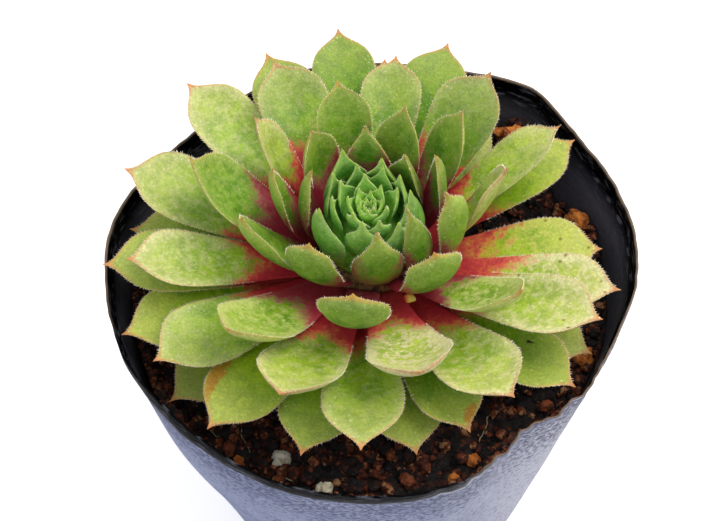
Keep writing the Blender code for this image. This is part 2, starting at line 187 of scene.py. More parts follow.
def linear(colour: str) -> tuple[float, float, float, float]:
    """Turns an sRGB hex colour into linear light, fully opaque.

    Args:
        colour: Six hex digits, with or without a leading mark.

    Returns:
        Linear red, green and blue, and the opacity.
    """
    digits = colour.lstrip("#")
    shares = [int(digits[i : i + 2], 16) / 255 for i in (0, 2, 4)]
    light = [s / 12.92 if s <= 0.04045 else ((s + 0.055) / 1.055) ** 2.4 for s in shares]
    return light[0], light[1], light[2], 1.0


@dataclass
class Draft:
    """A material or a world while its nodes are being added.

    Attributes:
        owner: The material or the world.
        shader: The node that gives its look.
        read: What later nodes can read, by name.
    """

    owner: Material | bpy.types.World
    shader: bpy.types.Node
    read: dict[str, Any] = field(default_factory=dict)

    @classmethod
    def material(cls, name: str, **uniform: Any) -> "Draft":
        """Starts a material with one shader, whose uniform values are set on its own sockets.

        Args:
            name: The material's name.
            **uniform: Socket names with underscores for spaces, and their values.

        Returns:
            The draft, which can read the place on the part.
        """
        made = bpy.data.materials.new(name)
        made.use_nodes = True
        draft = cls(made, made.node_tree.nodes["Principled BSDF"])
        draft.feed({socket.replace("_", " "): value for socket, value in uniform.items()})
        draft.read["place"] = draft.add("TexCoord").outputs["Object"]
        return draft

    def feed(self, feeds: dict[int | str, Any], node: bpy.types.Node | None = None) -> None:
        """Sets or links inputs of a node.

        Args:
            feeds: What each input gets: a number, an sRGB hex colour, an output, or a node's first output.
            node: The node, if it isn't the shader.
        """
        node = node or self.shader
        for socket, value in feeds.items():
            if isinstance(value, bpy.types.Node):
                value = value.outputs[0]
            elif isinstance(value, str):
                value = linear(value)
            if isinstance(value, Socket):
                self.owner.node_tree.links.new(value, node.inputs[socket])
            else:
                node.inputs[socket].default_value = value

    def add(
        self,
        kind: str,
        feeds: dict[int | str, Any] | None = None,
        stops: Iterable[tuple[float, str]] = (),
        **settings: Any,
    ) -> bpy.types.Node:
        """Adds one node with its settings and links.

        Args:
            kind: The node's type, without the leading "ShaderNode".
            feeds: What its inputs get.
            stops: For a ramp, its positions with their sRGB colours.
            **settings: The node's own options.

        Returns:
            The new node.
        """
        made = self.owner.node_tree.nodes.new("ShaderNode" + kind)
        for name, value in settings.items():
            setattr(made, name, value)
        for i, (position, colour) in enumerate(stops):
            elements = made.color_ramp.elements
            element = elements[i] if i < 2 else elements.new(position)
            element.position, element.color = position, linear(colour)
        self.feed(feeds or {}, made)
        return made

    def blend(self, share: Any, first: Any, second: Any) -> Socket:
        """Mixes two colours: the first where share is 0, and the second where it is 1."""
        return self.add("Mix", {0: share, 6: first, 7: second}, data_type="RGBA").outputs[2]


@dataclass(frozen=True)
class LeafSkin:
    """Living leaf skin: watery green tissue under a thin waxy cuticle, set with fine gland hairs.

    The eye gets a clear green with darker watery patches, a whitish bloom that gathers towards the margins
    and the far end, a crimson flush at the foot that breaks up where it meets the green, a thin
    straw-coloured margin that turns orange at the point, and a fine dust of sticky droplets.

    Attributes:
        name: The material's name.
        deep: Green of the watery patches.
        fresh: Green of the tissue between them.
        wax: Colour of the bloom.
        flush: Crimson of the foot.
        flush_edge: What the crimson pales to where it meets the green.
        wax_share: How much of the green the bloom hides where it is thickest.
        far_end: What the green turns to towards the far end.
        margin: Colour of the thin line along the margin.
        point: Colour of the drawn-out point.
        droplet: Colour of the sticky droplets.
        rust: Colour of a rust stain.
        speck: Colour of a dead speck.
        roughness: Roughness of the cuticle.
    """

    name: str
    deep: str
    fresh: str
    wax: str
    flush: str
    flush_edge: str
    wax_share: float
    far_end: str = "#d2d07c"
    margin: str = "#e6d29a"
    point: str = "#d08658"
    droplet: str = "#f2f2d4"
    rust: str = "#bc661c"
    speck: str = "#6a5222"
    roughness: float = 0.42

    def material(self) -> Material:
        """Makes the material.

        Returns:
            A material that reads the leaf's own numbers, which FleshyLeaf.blade gives it.
        """
        flesh = {"Subsurface_Radius": (1.0, 0.9, 0.3), "Subsurface_Scale": 1.0 * MM, "IOR": 1.45}
        draft = Draft.material(self.name, Subsurface_Weight=0.18, Specular_IOR_Level=0.32, **flesh)
        read = draft.read
        for name in ("along", "edge", "upper", "flush", "stain", "tint", "bloom", "specks"):
            read[name] = draft.add("Attribute", attribute_name=name).outputs["Fac"]
        # Watery patches are 4 mm across, the curdled bloom between them 1.4 mm, and the cells' grain 0.5 mm
        watery = {"Vector": read["place"], "Scale": 1 / (4 * MM), "Detail": 3.0, "Roughness": 0.6}
        watery["Distortion"] = 0.6
        clotted = {"Vector": read["place"], "Scale": 1 / (1.4 * MM), "Detail": 4.0, "Roughness": 0.65}
        grain = draft.add("TexNoise", {"Vector": read["place"], "Scale": 1 / (0.5 * MM), "Detail": 1.0})
        read["patches"], read["curdle"] = draft.add("TexNoise", watery), draft.add("TexNoise", clotted)
        read["grain"] = grain
        for layer in (self.green, self.crimson, self.edges, self.dew):
            layer(draft)
        # The cells' grain, and the lower face a shade darker
        shade = draft.add("MapRange", {0: read["upper"], 3: 0.9, 4: 1.0})
        cells = draft.add("MapRange", {0: grain, 1: 0.32, 2: 0.68, 3: 0.87, 4: 1.1})
        shade = draft.add("Math", {0: shade, 1: cells}, operation="MULTIPLY")
        colour = draft.add("HueSaturation", {"Value": shade, "Color": read["colour"]})
        smooth, rough = self.roughness - 0.07, self.roughness + 0.1
        gloss = draft.add("MapRange", {0: grain, 1: 0.3, 2: 0.7, 3: smooth, 4: rough})
        # Soft swellings of the tissue, then the grain and the droplets, as heights
        swell = draft.add("Math", {0: read["curdle"], 1: 1.2}, operation="MULTIPLY")
        height = draft.add("Math", {0: swell, 1: grain})
        height = draft.add("Math", {0: height, 1: read["drops"]})
        bump = draft.add("Bump", {"Height": height, "Strength": 0.5, "Distance": 0.12 * MM})
        draft.feed({"Base Color": colour, "Roughness": gloss, "Normal": bump})
        return draft.owner

    def green(self, draft: Draft) -> None:
        """Lays the first layer: green tissue, greener and darker or yellower and brighter by leaf, and its
        bloom.

        Args:
            draft: The material so far, which reads the leaf's numbers, the noises and the layers before.
        """
        read = draft.read
        depth = draft.add("MapRange", {0: read["patches"], 1: 0.38, 2: 0.6}, **EASED)
        colour = draft.blend(depth, self.deep, self.fresh)
        far = draft.add("MapRange", {0: read["along"], 1: 0.55, 2: 0.9, 4: 0.42}, **EASED)
        colour = draft.blend(far, colour, self.far_end)
        # The tint turns a leaf greener and darker or yellower and brighter, partly as painted light and shade
        hue = draft.add("MapRange", {0: read["tint"], 1: -1.0, 2: 1.0, 3: 0.515, 4: 0.485})
        value = draft.add("MapRange", {0: read["tint"], 1: -1.0, 2: 1.0, 3: 0.76, 4: 1.14})
        colour = draft.add("HueSaturation", {"Hue": hue, "Value": value, "Color": colour}).outputs[0]
        # Bloom: curdled, thicker towards the margin and the far end, and thin over the foot
        waxy = draft.add("MapRange", {0: read["curdle"], 1: 0.42, 2: 0.62, 4: 0.9}, **EASED)
        outer = draft.add("MapRange", {0: read["edge"], 1: 0.2, 2: 2.6, 3: 0.75, 4: 0.12}, **EASED)
        upward = draft.add("MapRange", {0: read["along"], 1: 0.25, 2: 0.8, 3: 0.15, 4: 0.95})
        thick = draft.add("Math", {0: outer, 1: upward}, operation="MULTIPLY")
        waxy = draft.add("Math", {0: waxy, 1: 0.52, 2: thick}, operation="MULTIPLY_ADD")
        share = {0: read["bloom"], 1: self.wax_share, 2: self.wax_share}
        share = draft.add("Math", share, operation="MULTIPLY_ADD")
        waxy = draft.add("Math", {0: waxy, 1: share}, operation="MULTIPLY", use_clamp=True)
        read["colour"], read["thick"] = draft.blend(waxy, colour, self.wax), thick

    def crimson(self, draft: Draft) -> None:
        """Lays the flush of the foot, which breaks up into patches where it fades.

        Args:
            draft: The material so far.
        """
        read = draft.read
        patchy = draft.add("MapRange", {0: read["curdle"], 1: 0.3, 2: 0.7, 3: -0.24, 4: 0.24})
        flushed = draft.add("Math", {0: read["flush"], 1: patchy})
        faint = draft.add("MapRange", {0: flushed, 1: 0.12, 2: 0.62, 4: 0.95}, **EASED)
        full = draft.add("MapRange", {0: flushed, 1: 0.4, 2: 0.9}, **EASED)
        red = draft.blend(full, self.flush_edge, self.flush)
        # It darkens towards the very foot: partly the crimson's own deeper tone, partly painted shade where
        # the leaves overlap
        foot = draft.add("MapRange", {0: read["along"], 1: 0.05, 2: 0.4, 3: 0.8, 4: 1.0}, **EASED)
        red = draft.add("HueSaturation", {"Value": foot, "Color": red}).outputs[0]
        read["colour"], read["faint"] = draft.blend(faint, read["colour"], red), faint

    def edges(self, draft: Draft) -> None:
        """Lays the straw-coloured margin along the outer half, the orange point, and a few leaves' marks.

        Args:
            draft: The material so far.
        """
        read = draft.read
        along, colour = read["along"], read["colour"]
        outer_half = draft.add("MapRange", {0: along, 1: 0.4, 2: 0.7}, **EASED)
        wavering = draft.add("MapRange", {0: read["grain"], 1: 0.3, 2: 0.7, 3: -0.15, 4: 0.15})
        away = draft.add("Math", {0: read["edge"], 1: wavering})
        near_point = draft.add("MapRange", {0: along, 1: 0.8, 2: 0.97}, **EASED)
        wide = draft.add("MapRange", {0: near_point, 3: 0.35, 4: 0.8})
        line = draft.add("MapRange", {0: away, 1: 0.05, 2: wide, 3: 0.6, 4: 0.0}, **EASED)
        line = draft.add("Math", {0: line, 1: outer_half}, operation="MULTIPLY")
        rim = draft.blend(near_point, self.margin, self.point)
        colour = draft.blend(line, colour, rim)
        pointed = draft.add("MapRange", {0: along, 1: 0.935, 2: 0.985, 4: 0.8}, **EASED)
        colour = draft.blend(pointed, colour, self.point)
        stained = draft.add("Math", {0: read["curdle"], 1: read["stain"]}, operation="MULTIPLY")
        stained = draft.add("MapRange", {0: stained, 1: 0.2, 2: 0.44, 4: 0.7}, **EASED)
        colour = draft.blend(stained, colour, self.rust)
        # Specks are 0.5 mm across and 3.2 mm apart
        cells = draft.add("TexVoronoi", {"Vector": read["place"], "Scale": 1 / (3.2 * MM)})
        speck = draft.add("MapRange", {0: cells.outputs["Distance"], 1: 0.07, 2: 0.13, 3: 0.85, 4: 0.0})
        speck = draft.add("Math", {0: speck, 1: read["specks"]}, operation="MULTIPLY")
        read["colour"] = draft.blend(speck, colour, self.speck)

    def dew(self, draft: Draft) -> None:
        """Lays the droplets of the gland hairs, which crowd in the bloom and thin out on the crimson.

        Args:
            draft: The material so far.
        """
        read = draft.read
        # They are 0.75 mm apart, with finer ones in between, and some are fainter than others
        lit = None
        for spacing, reach, strength in ((0.75 * MM, 0.19, 0.9), (0.4 * MM, 0.25, 0.42)):
            cells = draft.add("TexVoronoi", {"Vector": read["place"], "Scale": 1 / spacing})
            near, far = 0.4 * reach, 1.5 * reach
            dot = draft.add("MapRange", {0: cells.outputs["Distance"], 1: near, 2: far, 3: 1.0, 4: 0.0})
            some = draft.add("SeparateColor", {0: cells.outputs["Color"]})
            some = draft.add("MapRange", {0: some, 1: 0.2, 2: 0.9, 4: strength})
            dot = draft.add("Math", {0: dot, 1: some}, operation="MULTIPLY")
            lit = dot if lit is None else draft.add("Math", {0: lit, 1: dot}, operation="MAXIMUM")
        crowd = draft.add("MapRange", {0: read["thick"], 1: 0.1, 2: 0.7, 3: 0.42, 4: 1.25})
        thin = {0: read["faint"], 1: -0.7, 2: crowd}
        crowd = draft.add("Math", thin, operation="MULTIPLY_ADD", use_clamp=True)
        read["drops"] = draft.add("Math", {0: lit, 1: crowd}, operation="MULTIPLY", use_clamp=True)
        read["colour"] = draft.blend(read["drops"], read["colour"], self.droplet)


SKINS = {
    # The heart's greens are paler than the young leaves': partly their own colour, partly painted light that
    # lifts the shade deep in the rosette
    Growth.HEART: LeafSkin(
        name="leaf_skin_heart",
        deep="#6cb83c",
        fresh="#a4dc54",
        wax="#d4eea8",
        flush="#94607a",
        flush_edge="#9c9478",
        wax_share=0.35,
        far_end="#c0e45c",
        margin="#c8e474",
        point="#c4e054",
        droplet="#e0f0a8",
    ),
    Growth.YOUNG: LeafSkin(
        name="leaf_skin_young",
        deep="#528c10",
        fresh="#76a620",
        wax="#c4d078",
        flush="#9c123c",
        flush_edge="#a8565a",
        wax_share=0.38,
        far_end="#b4c656",
        margin="#d4c468",
        point="#cc9a48",
        droplet="#dce29c",
    ),
    Growth.GROWN: LeafSkin(
        name="leaf_skin_grown",
        deep="#7aa60c",
        fresh="#a0c41e",
        wax="#e0dca2",
        flush="#bc0a38",
        flush_edge="#de564c",
        wax_share=0.54,
        margin="#deb078",
    ),
    Growth.OLD: LeafSkin(
        name="leaf_skin_old",
        deep="#6a9e04",
        fresh="#90b812",
        wax="#c0c65e",
        flush="#ae1632",
        flush_edge="#d65e48",
        wax_share=0.42,
        margin="#deb880",
        droplet="#e4e8a8",
    ),
}


@dataclass(frozen=True)
class GlandHair:
    """Gland hairs and the fringe of cilia: clear stalks that look whitish, each with a sticky tip."""

    name: str = "gland_hair"
    stalk: str = "#e2e0b4"
    tip: str = "#fffaea"

    def material(self) -> Material:
        """Makes the material.

        Returns:
            A material that is paler or yellower by chance from hair to hair.
        """
        draft = Draft.material(
            self.name,
            Roughness=0.35,
            Subsurface_Weight=0.1,
            Subsurface_Radius=(1, 1, 0.6),
            Subsurface_Scale=0.3 * MM,
        )
        fine = {"Vector": draft.read["place"], "Scale": 1 / (1.3 * MM), "Detail": 1.0}
        chance = draft.add("TexNoise", fine)
        share = draft.add("MapRange", {0: chance, 1: 0.35, 2: 0.65})
        colour = draft.blend(share, self.stalk, self.tip)
        draft.feed({"Base Color": colour})
        return draft.owner


@dataclass(frozen=True)
class ShootSkin:
    """Scales of a young shoot, red at the foot and straw-coloured at the far end."""

    name: str = "side_shoot"
    stops: tuple[tuple[float, str], ...] = (
        (0, "#7a2418"), (0.35, "#c05a2c"), (0.6, "#cfa83c"), (1, "#c4c060"),
    )

    def material(self) -> Material:
        """Makes the material.

        Returns:
            A material that reads how far along the shoot it is.
        """
        draft = Draft.material(
            self.name, Roughness=0.45, Subsurface_Weight=0.2, Subsurface_Scale=0.5 * MM
        )
        along = draft.add("Attribute", attribute_name="along").outputs["Fac"]
        draft.feed({"Base Color": draft.add("ValToRGB", {0: along}, stops=self.stops)})
        return draft.owner


@dataclass(frozen=True)
class Peat:
    """Moist potting mix: near-black peat crumbs with red-brown and tan bits, so it glistens a little."""

    name: str = "peat_mix"
    roughness: float = 0.7
    stops: tuple[tuple[float, str], ...] = (
        (0, "#0b0708"), (0.4, "#1e1110"), (0.58, "#431d10"),
        (0.76, "#6f3018"), (0.9, "#8f4c26"), (1, "#ab8058"),
    )

    def material(self) -> Material:
        """Makes the material.

        Returns:
            A material that reads each crumb's own tone.
        """
        draft = Draft.material(self.name, Specular_IOR_Level=0.35)
        place = draft.read["place"]
        tone = draft.add("Attribute", attribute_name="tone").outputs["Fac"]
        # Fibres and dust in the crumbs are 0.5 mm and less
        dusty = {"Vector": place, "Scale": 1 / (0.5 * MM), "Detail": 4.0, "Roughness": 0.7}
        fine = draft.add("TexNoise", dusty)
        shift = draft.add("MapRange", {0: fine, 1: 0.3, 2: 0.7, 3: -0.2, 4: 0.2})
        # Bits 0.7 mm across, each with a tone of its own, and most of them dark
        bits = draft.add("TexVoronoi", {"Vector": place, "Scale": 1 / (0.7 * MM)})
        bit = draft.add("SeparateColor", {0: bits.outputs["Color"]})
        bit = draft.add("Math", {0: bit, 1: 2.0}, operation="POWER")
        bit = draft.add("MapRange", {0: bit, 3: -0.2, 4: 0.32})
        shift = draft.add("Math", {0: shift, 1: bit})
        shown = draft.add("Math", {0: tone, 1: shift}, use_clamp=True)
        ramp = draft.add("ValToRGB", {0: shown}, stops=self.stops)
        wet, dry = self.roughness - 0.25, self.roughness + 0.2
        gloss = draft.add("MapRange", {0: fine, 1: 0.3, 2: 0.7, 3: wet, 4: dry})
        rise = {0: bits.outputs["Distance"], 1: -0.8, 2: fine}
        rise = draft.add("Math", rise, operation="MULTIPLY_ADD")
        bump = draft.add("Bump", {"Height": rise, "Strength": 0.9, "Distance": 0.3 * MM})
        draft.feed({"Base Color": ramp, "Roughness": gloss, "Normal": bump})
        return draft.owner


@dataclass(frozen=True)
class Grit:
    """Dry mineral grain, such as burnt clay or pumice: dusty, matt and pitted."""

    name: str
    dark: str
    light: str
    pit: float = 0.5 * MM

    def material(self) -> Material:
        """Makes the material.

        Returns:
            A material mottled in patches of 1.8 mm, and pitted.
        """
        draft = Draft.material(self.name, Roughness=0.88)
        place = draft.read["place"]
        cloudy = {"Vector": place, "Scale": 1 / (1.8 * MM), "Detail": 4.0, "Roughness": 0.65}
        mottle = draft.add("TexNoise", cloudy)
        pits = draft.add("TexVoronoi", {"Vector": place, "Scale": 1 / self.pit})
        share = draft.add("MapRange", {0: mottle, 1: 0.36, 2: 0.62}, **EASED)
        colour = draft.blend(share, self.dark, self.light)
        rise = draft.add("Math", {0: mottle, 1: pits.outputs["Distance"]})
        bump = draft.add("Bump", {"Height": rise, "Strength": 0.8, "Distance": 0.3 * MM})
        draft.feed({"Base Color": colour, "Normal": bump})
        return draft.owner


@dataclass(frozen=True)
class RootBark:
    """The corky stem and its thin roots: brown with paler threads."""

    name: str = "corky_stem"
    dark: str = "#3a2417"
    light: str = "#8a6844"

    def material(self) -> Material:
        """Makes the material.

        Returns:
            A material streaked upwards, with threads 0.7 mm wide and four times as long.
        """
        draft = Draft.material(self.name, Roughness=0.8)
        drawn = draft.add("Mapping", {"Vector": draft.read["place"], "Scale": (1.0, 1.0, 0.25)})
        streaks = draft.add("TexNoise", {"Vector": drawn, "Scale": 1 / (0.7 * MM), "Detail": 3.0})
        share = draft.add("MapRange", {0: streaks, 1: 0.35, 2: 0.65})
        colour = draft.blend(share, self.dark, self.light)
        bump = draft.add("Bump", {"Height": streaks, "Strength": 0.6, "Distance": 0.2 * MM})
        draft.feed({"Base Color": colour, "Normal": bump})
        return draft.owner


@dataclass(frozen=True)
class PotFilmOutside:
    """Blown polyethylene film, black, with a greyish-blue haze outside that the black shows through.

    The eye gets a pale blue-grey skin, flecked with short level dashes that crowd under the rim, a few long
    dark creases that run level, painted shade where the film is crumpled, and a smoother right side that is
    painted paler as painted light, with a thin painted highlight along the foot of the black band.
    """

    name: str = "polyethylene_outside"
    haze: str = "#6f7aa4"
    pale: str = "#9da5c2"
    # Painted light: the paler right side and the thin pale line under the black band
    painted_light: str = "#cccdd9"
    # Dark colour of the flecks and creases, and of the painted shade where the film is crumpled
    dark_flecks_and_shade: str = "#232b58"

    def material(self) -> Material:
        """Makes the material.

        Returns:
            A material that reads where the film has its black band and where it is pressed and crumpled,
            which it darkens as painted shade.
        """
        draft = Draft.material(self.name, IOR=1.51, Roughness=0.45, Specular_IOR_Level=0.25)
        place = draft.read["place"]
        sides = draft.add("SeparateXYZ", {0: place})
        height = sides.outputs["Z"]
        # Dashes are 0.8 mm long and 0.4 mm high; the long creases are 1.5 mm high and 24 mm long
        level = draft.add("Mapping", {"Vector": place, "Scale": (1.0, 1.0, 2.2)})
        dashed = {"Vector": level, "Scale": 1 / (0.8 * MM), "Detail": 1.0, "Roughness": 0.5}
        dashes = draft.add("TexNoise", dashed)
        run = draft.add("Mapping", {"Vector": place, "Scale": (1.0, 1.0, 16.0)})
        creased = {"Vector": run, "Scale": 1 / (24 * MM), "Detail": 3.0, "Roughness": 0.55}
        creases = draft.add("TexNoise", creased)
        cloud = draft.add("TexNoise", {"Vector": place, "Scale": 1 / (11 * MM), "Detail": 3.0})
        mottle = draft.add("MapRange", {0: cloud, 1: 0.2, 2: 0.8})
        base = draft.blend(mottle, self.haze, self.pale)
        # The right side is painted paler, as painted light from the lamp on that side, and a thin line under
        # the black band is a painted highlight
        painted_light = draft.add("MapRange", {0: sides.outputs["X"], 1: 6 * MM, 2: 34 * MM, 4: 0.85})
        base = draft.blend(painted_light, base, self.painted_light)
        banded = draft.add("Attribute", attribute_name="thin").outputs["Fac"]
        banded = draft.add("MapRange", {0: banded, 3: 0.8, 4: 0.0})
        line = draft.add("MapRange", {0: height, 1: 71.9 * MM, 2: 72.6 * MM}, **EASED)
        line = draft.add("Math", {0: line, 1: banded}, operation="MULTIPLY")
        # The dashes crowd under the rim and thin out on the paler clouds; where the film is crumpled the wall
        # is darkened more, as painted shade in its folds
        crowd = draft.add("MapRange", {0: height, 1: 52 * MM, 2: 71 * MM, 3: -0.08, 4: 0.065}, **EASED)
        lighter = draft.add("MapRange", {0: cloud, 1: 0.3, 2: 0.7, 3: -0.02, 4: 0.025})
        flecks = draft.add("Math", {0: dashes, 1: crowd})
        flecks = draft.add("Math", {0: flecks, 1: lighter}, operation="SUBTRACT")
        # Painted shade in the folds of the crumpled film
        pressed = draft.add("Attribute", attribute_name="pressed").outputs["Fac"]
        flecks = draft.add("Math", {0: pressed, 1: 0.05, 2: flecks}, operation="MULTIPLY_ADD")
        flecks = draft.add("MapRange", {0: flecks, 1: 0.505, 2: 0.56, 4: 0.85}, **EASED)
        # Darker along the long level creases
        creases_and_highlights = draft.add("Math", {0: creases, 1: crowd})
        creases_and_highlights = draft.add("MapRange", {0: creases_and_highlights, 1: 0.6, 2: 0.72, 4: 0.5}, **EASED)
        dark = draft.add("Math", {0: flecks, 1: creases_and_highlights}, operation="MAXIMUM")
        colour = draft.blend(dark, base, self.dark_flecks_and_shade)
        # Painted highlight along the foot of the black band
        colour = draft.blend(line, colour, self.painted_light)
        relief = draft.add("Math", {0: creases, 1: 1.5, 2: dashes}, operation="MULTIPLY_ADD")
        bump = draft.add("Bump", {"Height": relief, "Strength": 0.3, "Distance": 0.12 * MM})
        draft.feed({"Base Color": colour, "Normal": bump})
        return draft.owner


@dataclass(frozen=True)
class PotFilmRim:
    """The same film where it is black: satin, in level wrinkles with painted highlights, brown at its cut
    edge.
    """

    name: str = "polyethylene_black"
    black: str = "#040406"
    # Painted highlights on the tops of the wrinkles
    creases_and_highlights: str = "#5a5c66"
    # Painted light: the inside of the black film is painted paler further down
    inside: str = "#565662"
    edge: str = "#927e6e"
    edge_depth: float = 0.3 * MM

    def material(self) -> Material:
        """Makes the material.

        Returns:
            A material that reads its distance from the cut edge and how thin the film is there.
        """
        draft = Draft.material(self.name, IOR=1.51, Roughness=0.3, Specular_IOR_Level=0.035)
        lip = draft.add("Attribute", attribute_name="lip").outputs["Fac"]
        thin = draft.add("Attribute", attribute_name="thin").outputs["Fac"]
        # Wrinkles are 0.65 mm high and 3.2 mm long, and their broader folds twice that
        drawn = draft.add("Mapping", {"Vector": draft.read["place"], "Scale": (1.0, 1.0, 5.0)})
        wrinkled = {"Vector": drawn, "Scale": 1 / (3.2 * MM), "Detail": 4.0, "Roughness": 0.6}
        wrinkles = draft.add("TexNoise", wrinkled)
        # The tops of the wrinkles are painted pale grey, as painted highlights
        share = draft.add("MapRange", {0: wrinkles, 1: 0.54, 2: 0.66, 4: 0.75})
        colour = draft.blend(share, self.black, self.creases_and_highlights)
        # Further down the inside the black film is painted paler, as painted light that lifts its shade
        painted_inner_light = draft.add("MapRange", {0: lip, 1: 3 * MM, 2: 7 * MM})
        colour = draft.blend(painted_inner_light, colour, self.inside)
        wander = draft.add("MapRange", {0: wrinkles, 1: 0.3, 2: 0.7, 3: -0.25 * MM, 4: 0.35 * MM})
        depth = draft.add("Math", {0: lip, 1: wander})
        fading = {0: depth, 1: 0.2 * self.edge_depth, 2: 2 * self.edge_depth, 3: 0.65, 4: 0.0}
        brown = draft.add("MapRange", fading, **EASED)
        brown = draft.add("Math", {0: brown, 1: thin}, operation="MULTIPLY")
        colour = draft.blend(brown, colour, self.edge)
        bump = draft.add("Bump", {"Height": wrinkles, "Strength": 0.7, "Distance": 0.4 * MM})
        draft.feed({"Base Color": colour, "Normal": bump})
        return draft.owner


@dataclass(frozen=True)
class PaperSweep:
    """Matt white background paper, which keeps the soft shadow of the pot."""

    name: str = "white_paper"
    colour: str = "#e9e9ec"
    lift: float = 0.5
    glow: str = "#ffffff"

    def material(self) -> Material:
        """Makes the material.

        Returns:
            A material with a fine tooth, and lifted to white where the camera sees it.
        """
        draft = Draft.material(self.name, Roughness=0.95, Specular_IOR_Level=0.1)
        tooth = draft.add("TexNoise", {"Vector": draft.read["place"], "Scale": 1 / (0.6 * MM), "Detail": 2.0})
        bump = draft.add("Bump", {"Height": tooth, "Strength": 0.08, "Distance": 0.1 * MM})
        draft.feed({"Base Color": self.colour, "Normal": bump})
        ray = draft.add("LightPath")
        seen = draft.add("Math", {0: ray.outputs["Is Camera Ray"], 1: self.lift}, operation="MULTIPLY")
        glow = draft.add("Emission", {"Color": self.glow, "Strength": seen})
        both = draft.add("AddShader", {0: draft.shader, 1: glow})
        draft.feed({"Surface": both}, draft.owner.node_tree.nodes["Material Output"])
        return draft.owner


@dataclass
class MeshStock:
    """One piece while it is being built.

    Attributes:
        points: Its vertices, shell by shell.
        faces: Its faces, as indices into all of them.
        finishes: The slot of each face's material.
        numbers: Named numbers of the vertices, shell by shell.
        count: How many vertices it has so far.
    """

    points: list[Points] = field(default_factory=list)
    faces: list[list[int]] = field(default_factory=list)
    finishes: list[int] = field(default_factory=list)
    numbers: dict[str, list[Points]] = field(default_factory=dict)
    count: int = 0

    def add(self, points: Points, faces: Iterable[Sequence[int]], finish: int = 0, **numbers: Any) -> None:
        """Adds a shell.

        Args:
            points: Its vertices, one row each.
            faces: Its faces, as indices into those rows.
            finish: The slot of its material.
            **numbers: Named numbers, one for each vertex or one for all.
        """
        new = [[int(i) + self.count for i in face] for face in faces]
        for name in set(self.numbers) | set(numbers):
            rows = self.numbers.setdefault(name, [np.zeros(self.count)] if self.count else [])
            rows.append(np.broadcast_to(np.asarray(numbers.get(name, 0.0), float), len(points)))
        self.points.append(np.asarray(points, float))
        self.faces += new
        self.finishes += [finish] * len(new)
        self.count += len(points)

    def piece(
        self,
        name: str,
        materials: Sequence[Material],
        slot: str,
        replaces: Sequence[str] = (),
        crease: float | None = None,
    ) -> bpy.types.Object:
        """Makes the object and fixes it to the part's one body.

        Args:
            name: The piece's name.
            materials: Its materials, in the order of the finish numbers.
            slot: The record's slot for its finish, which is not used.
            replaces: The CAD nodes that it stands for.
            crease: Edges sharper than this many degrees show as edges, if it is given.

        Returns:
            The finished object.
        """
        mesh = bpy.data.meshes.new(name)
        mesh.from_pydata(np.concatenate(self.points).tolist(), [], self.faces)
        mesh.polygons.foreach_set("material_index", self.finishes)
        mesh.shade_smooth()
        if crease is not None:
            mesh.set_sharp_from_angle(angle=math.radians(crease))
        for key, rows in self.numbers.items():
            layer = mesh.attributes.new(key, "FLOAT", "POINT")
            layer.data.foreach_set("value", np.concatenate(rows).astype(np.float32))
        for material in materials:
            mesh.materials.append(material)
        mesh.validate()
        mesh.update()
        made = bpy.data.objects.new(name, mesh)
        bpy.context.scene.collection.objects.link(made)
        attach(made, ROOT)
        if replaces:
            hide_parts(*replaces)
        log.info("%s: %d vertices, %d faces", name, len(mesh.vertices), len(mesh.polygons))
        return made


def smooth_curve(points: Curve, x: float) -> float:
    """Reads a smooth curve through the points that never overshoots them.

    Args:
        points: The curve's points, in order.
        x: Where to read it; outside the points, the nearest end is read.

    Returns:
        The curve's height there.
    """
    xs = [p[0] for p in points]
    ys = [p[1] for p in points]
    x = min(max(x, xs[0]), xs[-1])
    slopes = [(ys[i + 1] - ys[i]) / (xs[i + 1] - xs[i]) for i in range(len(xs) - 1)]
    tangents = [slopes[0]]
    for i in range(1, len(slopes)):
        before, after = slopes[i - 1], slopes[i]
        if before * after <= 0:
            tangents.append(0)
            continue
        left, right = xs[i] - xs[i - 1], xs[i + 1] - xs[i]
        near, far = 2 * right + left, right + 2 * left
        tangents.append((near + far) / (near / before + far / after))
    tangents.append(slopes[-1])
    i = min(sum(1 for value in xs[1:] if value <= x), len(slopes) - 1)
    width = xs[i + 1] - xs[i]
    t = (x - xs[i]) / width
    return (
        ys[i] * (1 + 2 * t) * (1 - t) ** 2
        + tangents[i] * width * t * (1 - t) ** 2
        + ys[i + 1] * t * t * (3 - 2 * t)
        + tangents[i + 1] * width * t * t * (t - 1)
    )


def smooth_step(low: float, high: float, x: Any) -> Any:
    """Rises smoothly from 0 at low to 1 at high.

    Args:
        low: Where the rise starts.
        high: Where it ends.
        x: Where to read it: a number or an array.

    Returns:
        The height of the rise there.
    """
    t = np.clip((np.asarray(x, float) - low) / (high - low), 0, 1)
    return t * t * (3 - 2 * t)


def tube_faces(rings: int, sides: int, first: int = 0, down: bool = False) -> list[Sequence[int]]:
    """Faces between rings of vertices that follow each other.

    Args:
        rings: How many rings there are.
        sides: How many vertices each has, counterclockwise seen from above.
        first: The index of the first vertex.
        down: Whether the faces look outwards where the rings go down, and not where they go up.

    Returns:
        The faces, as indices of vertices.
    """
    faces: list[Sequence[int]] = []
    for start in range(first, first + (rings - 1) * sides, sides):
        for k in range(sides):
            n = (k + 1) % sides
            face = (start + k, start + n, start + sides + n, start + sides + k)
            faces.append((face[0], face[3], face[2], face[1]) if down else face)
    return faces


def leaned(x: Points, y: Points, z: Points) -> Points:
    """Turns places about the rosette's own axis into places in the part's frame.

    Args:
        x: To the right of the axis.
        y: Behind it.
        z: Along it, from the collar.

    Returns:
        The same places, with the three coordinates last.
    """
    lean_y = y * math.cos(LEAN) - z * math.sin(LEAN)
    lean_z = y * math.sin(LEAN) + z * math.cos(LEAN)
    return np.stack([x + COLLAR.x, lean_y + COLLAR.y, lean_z + COLLAR.z], axis=-1)


def unit(vectors: Points) -> Points:
    """The vectors of an array, each made one long."""
    return vectors / np.maximum(np.linalg.norm(vectors, axis=-1, keepdims=True), 1e-12)


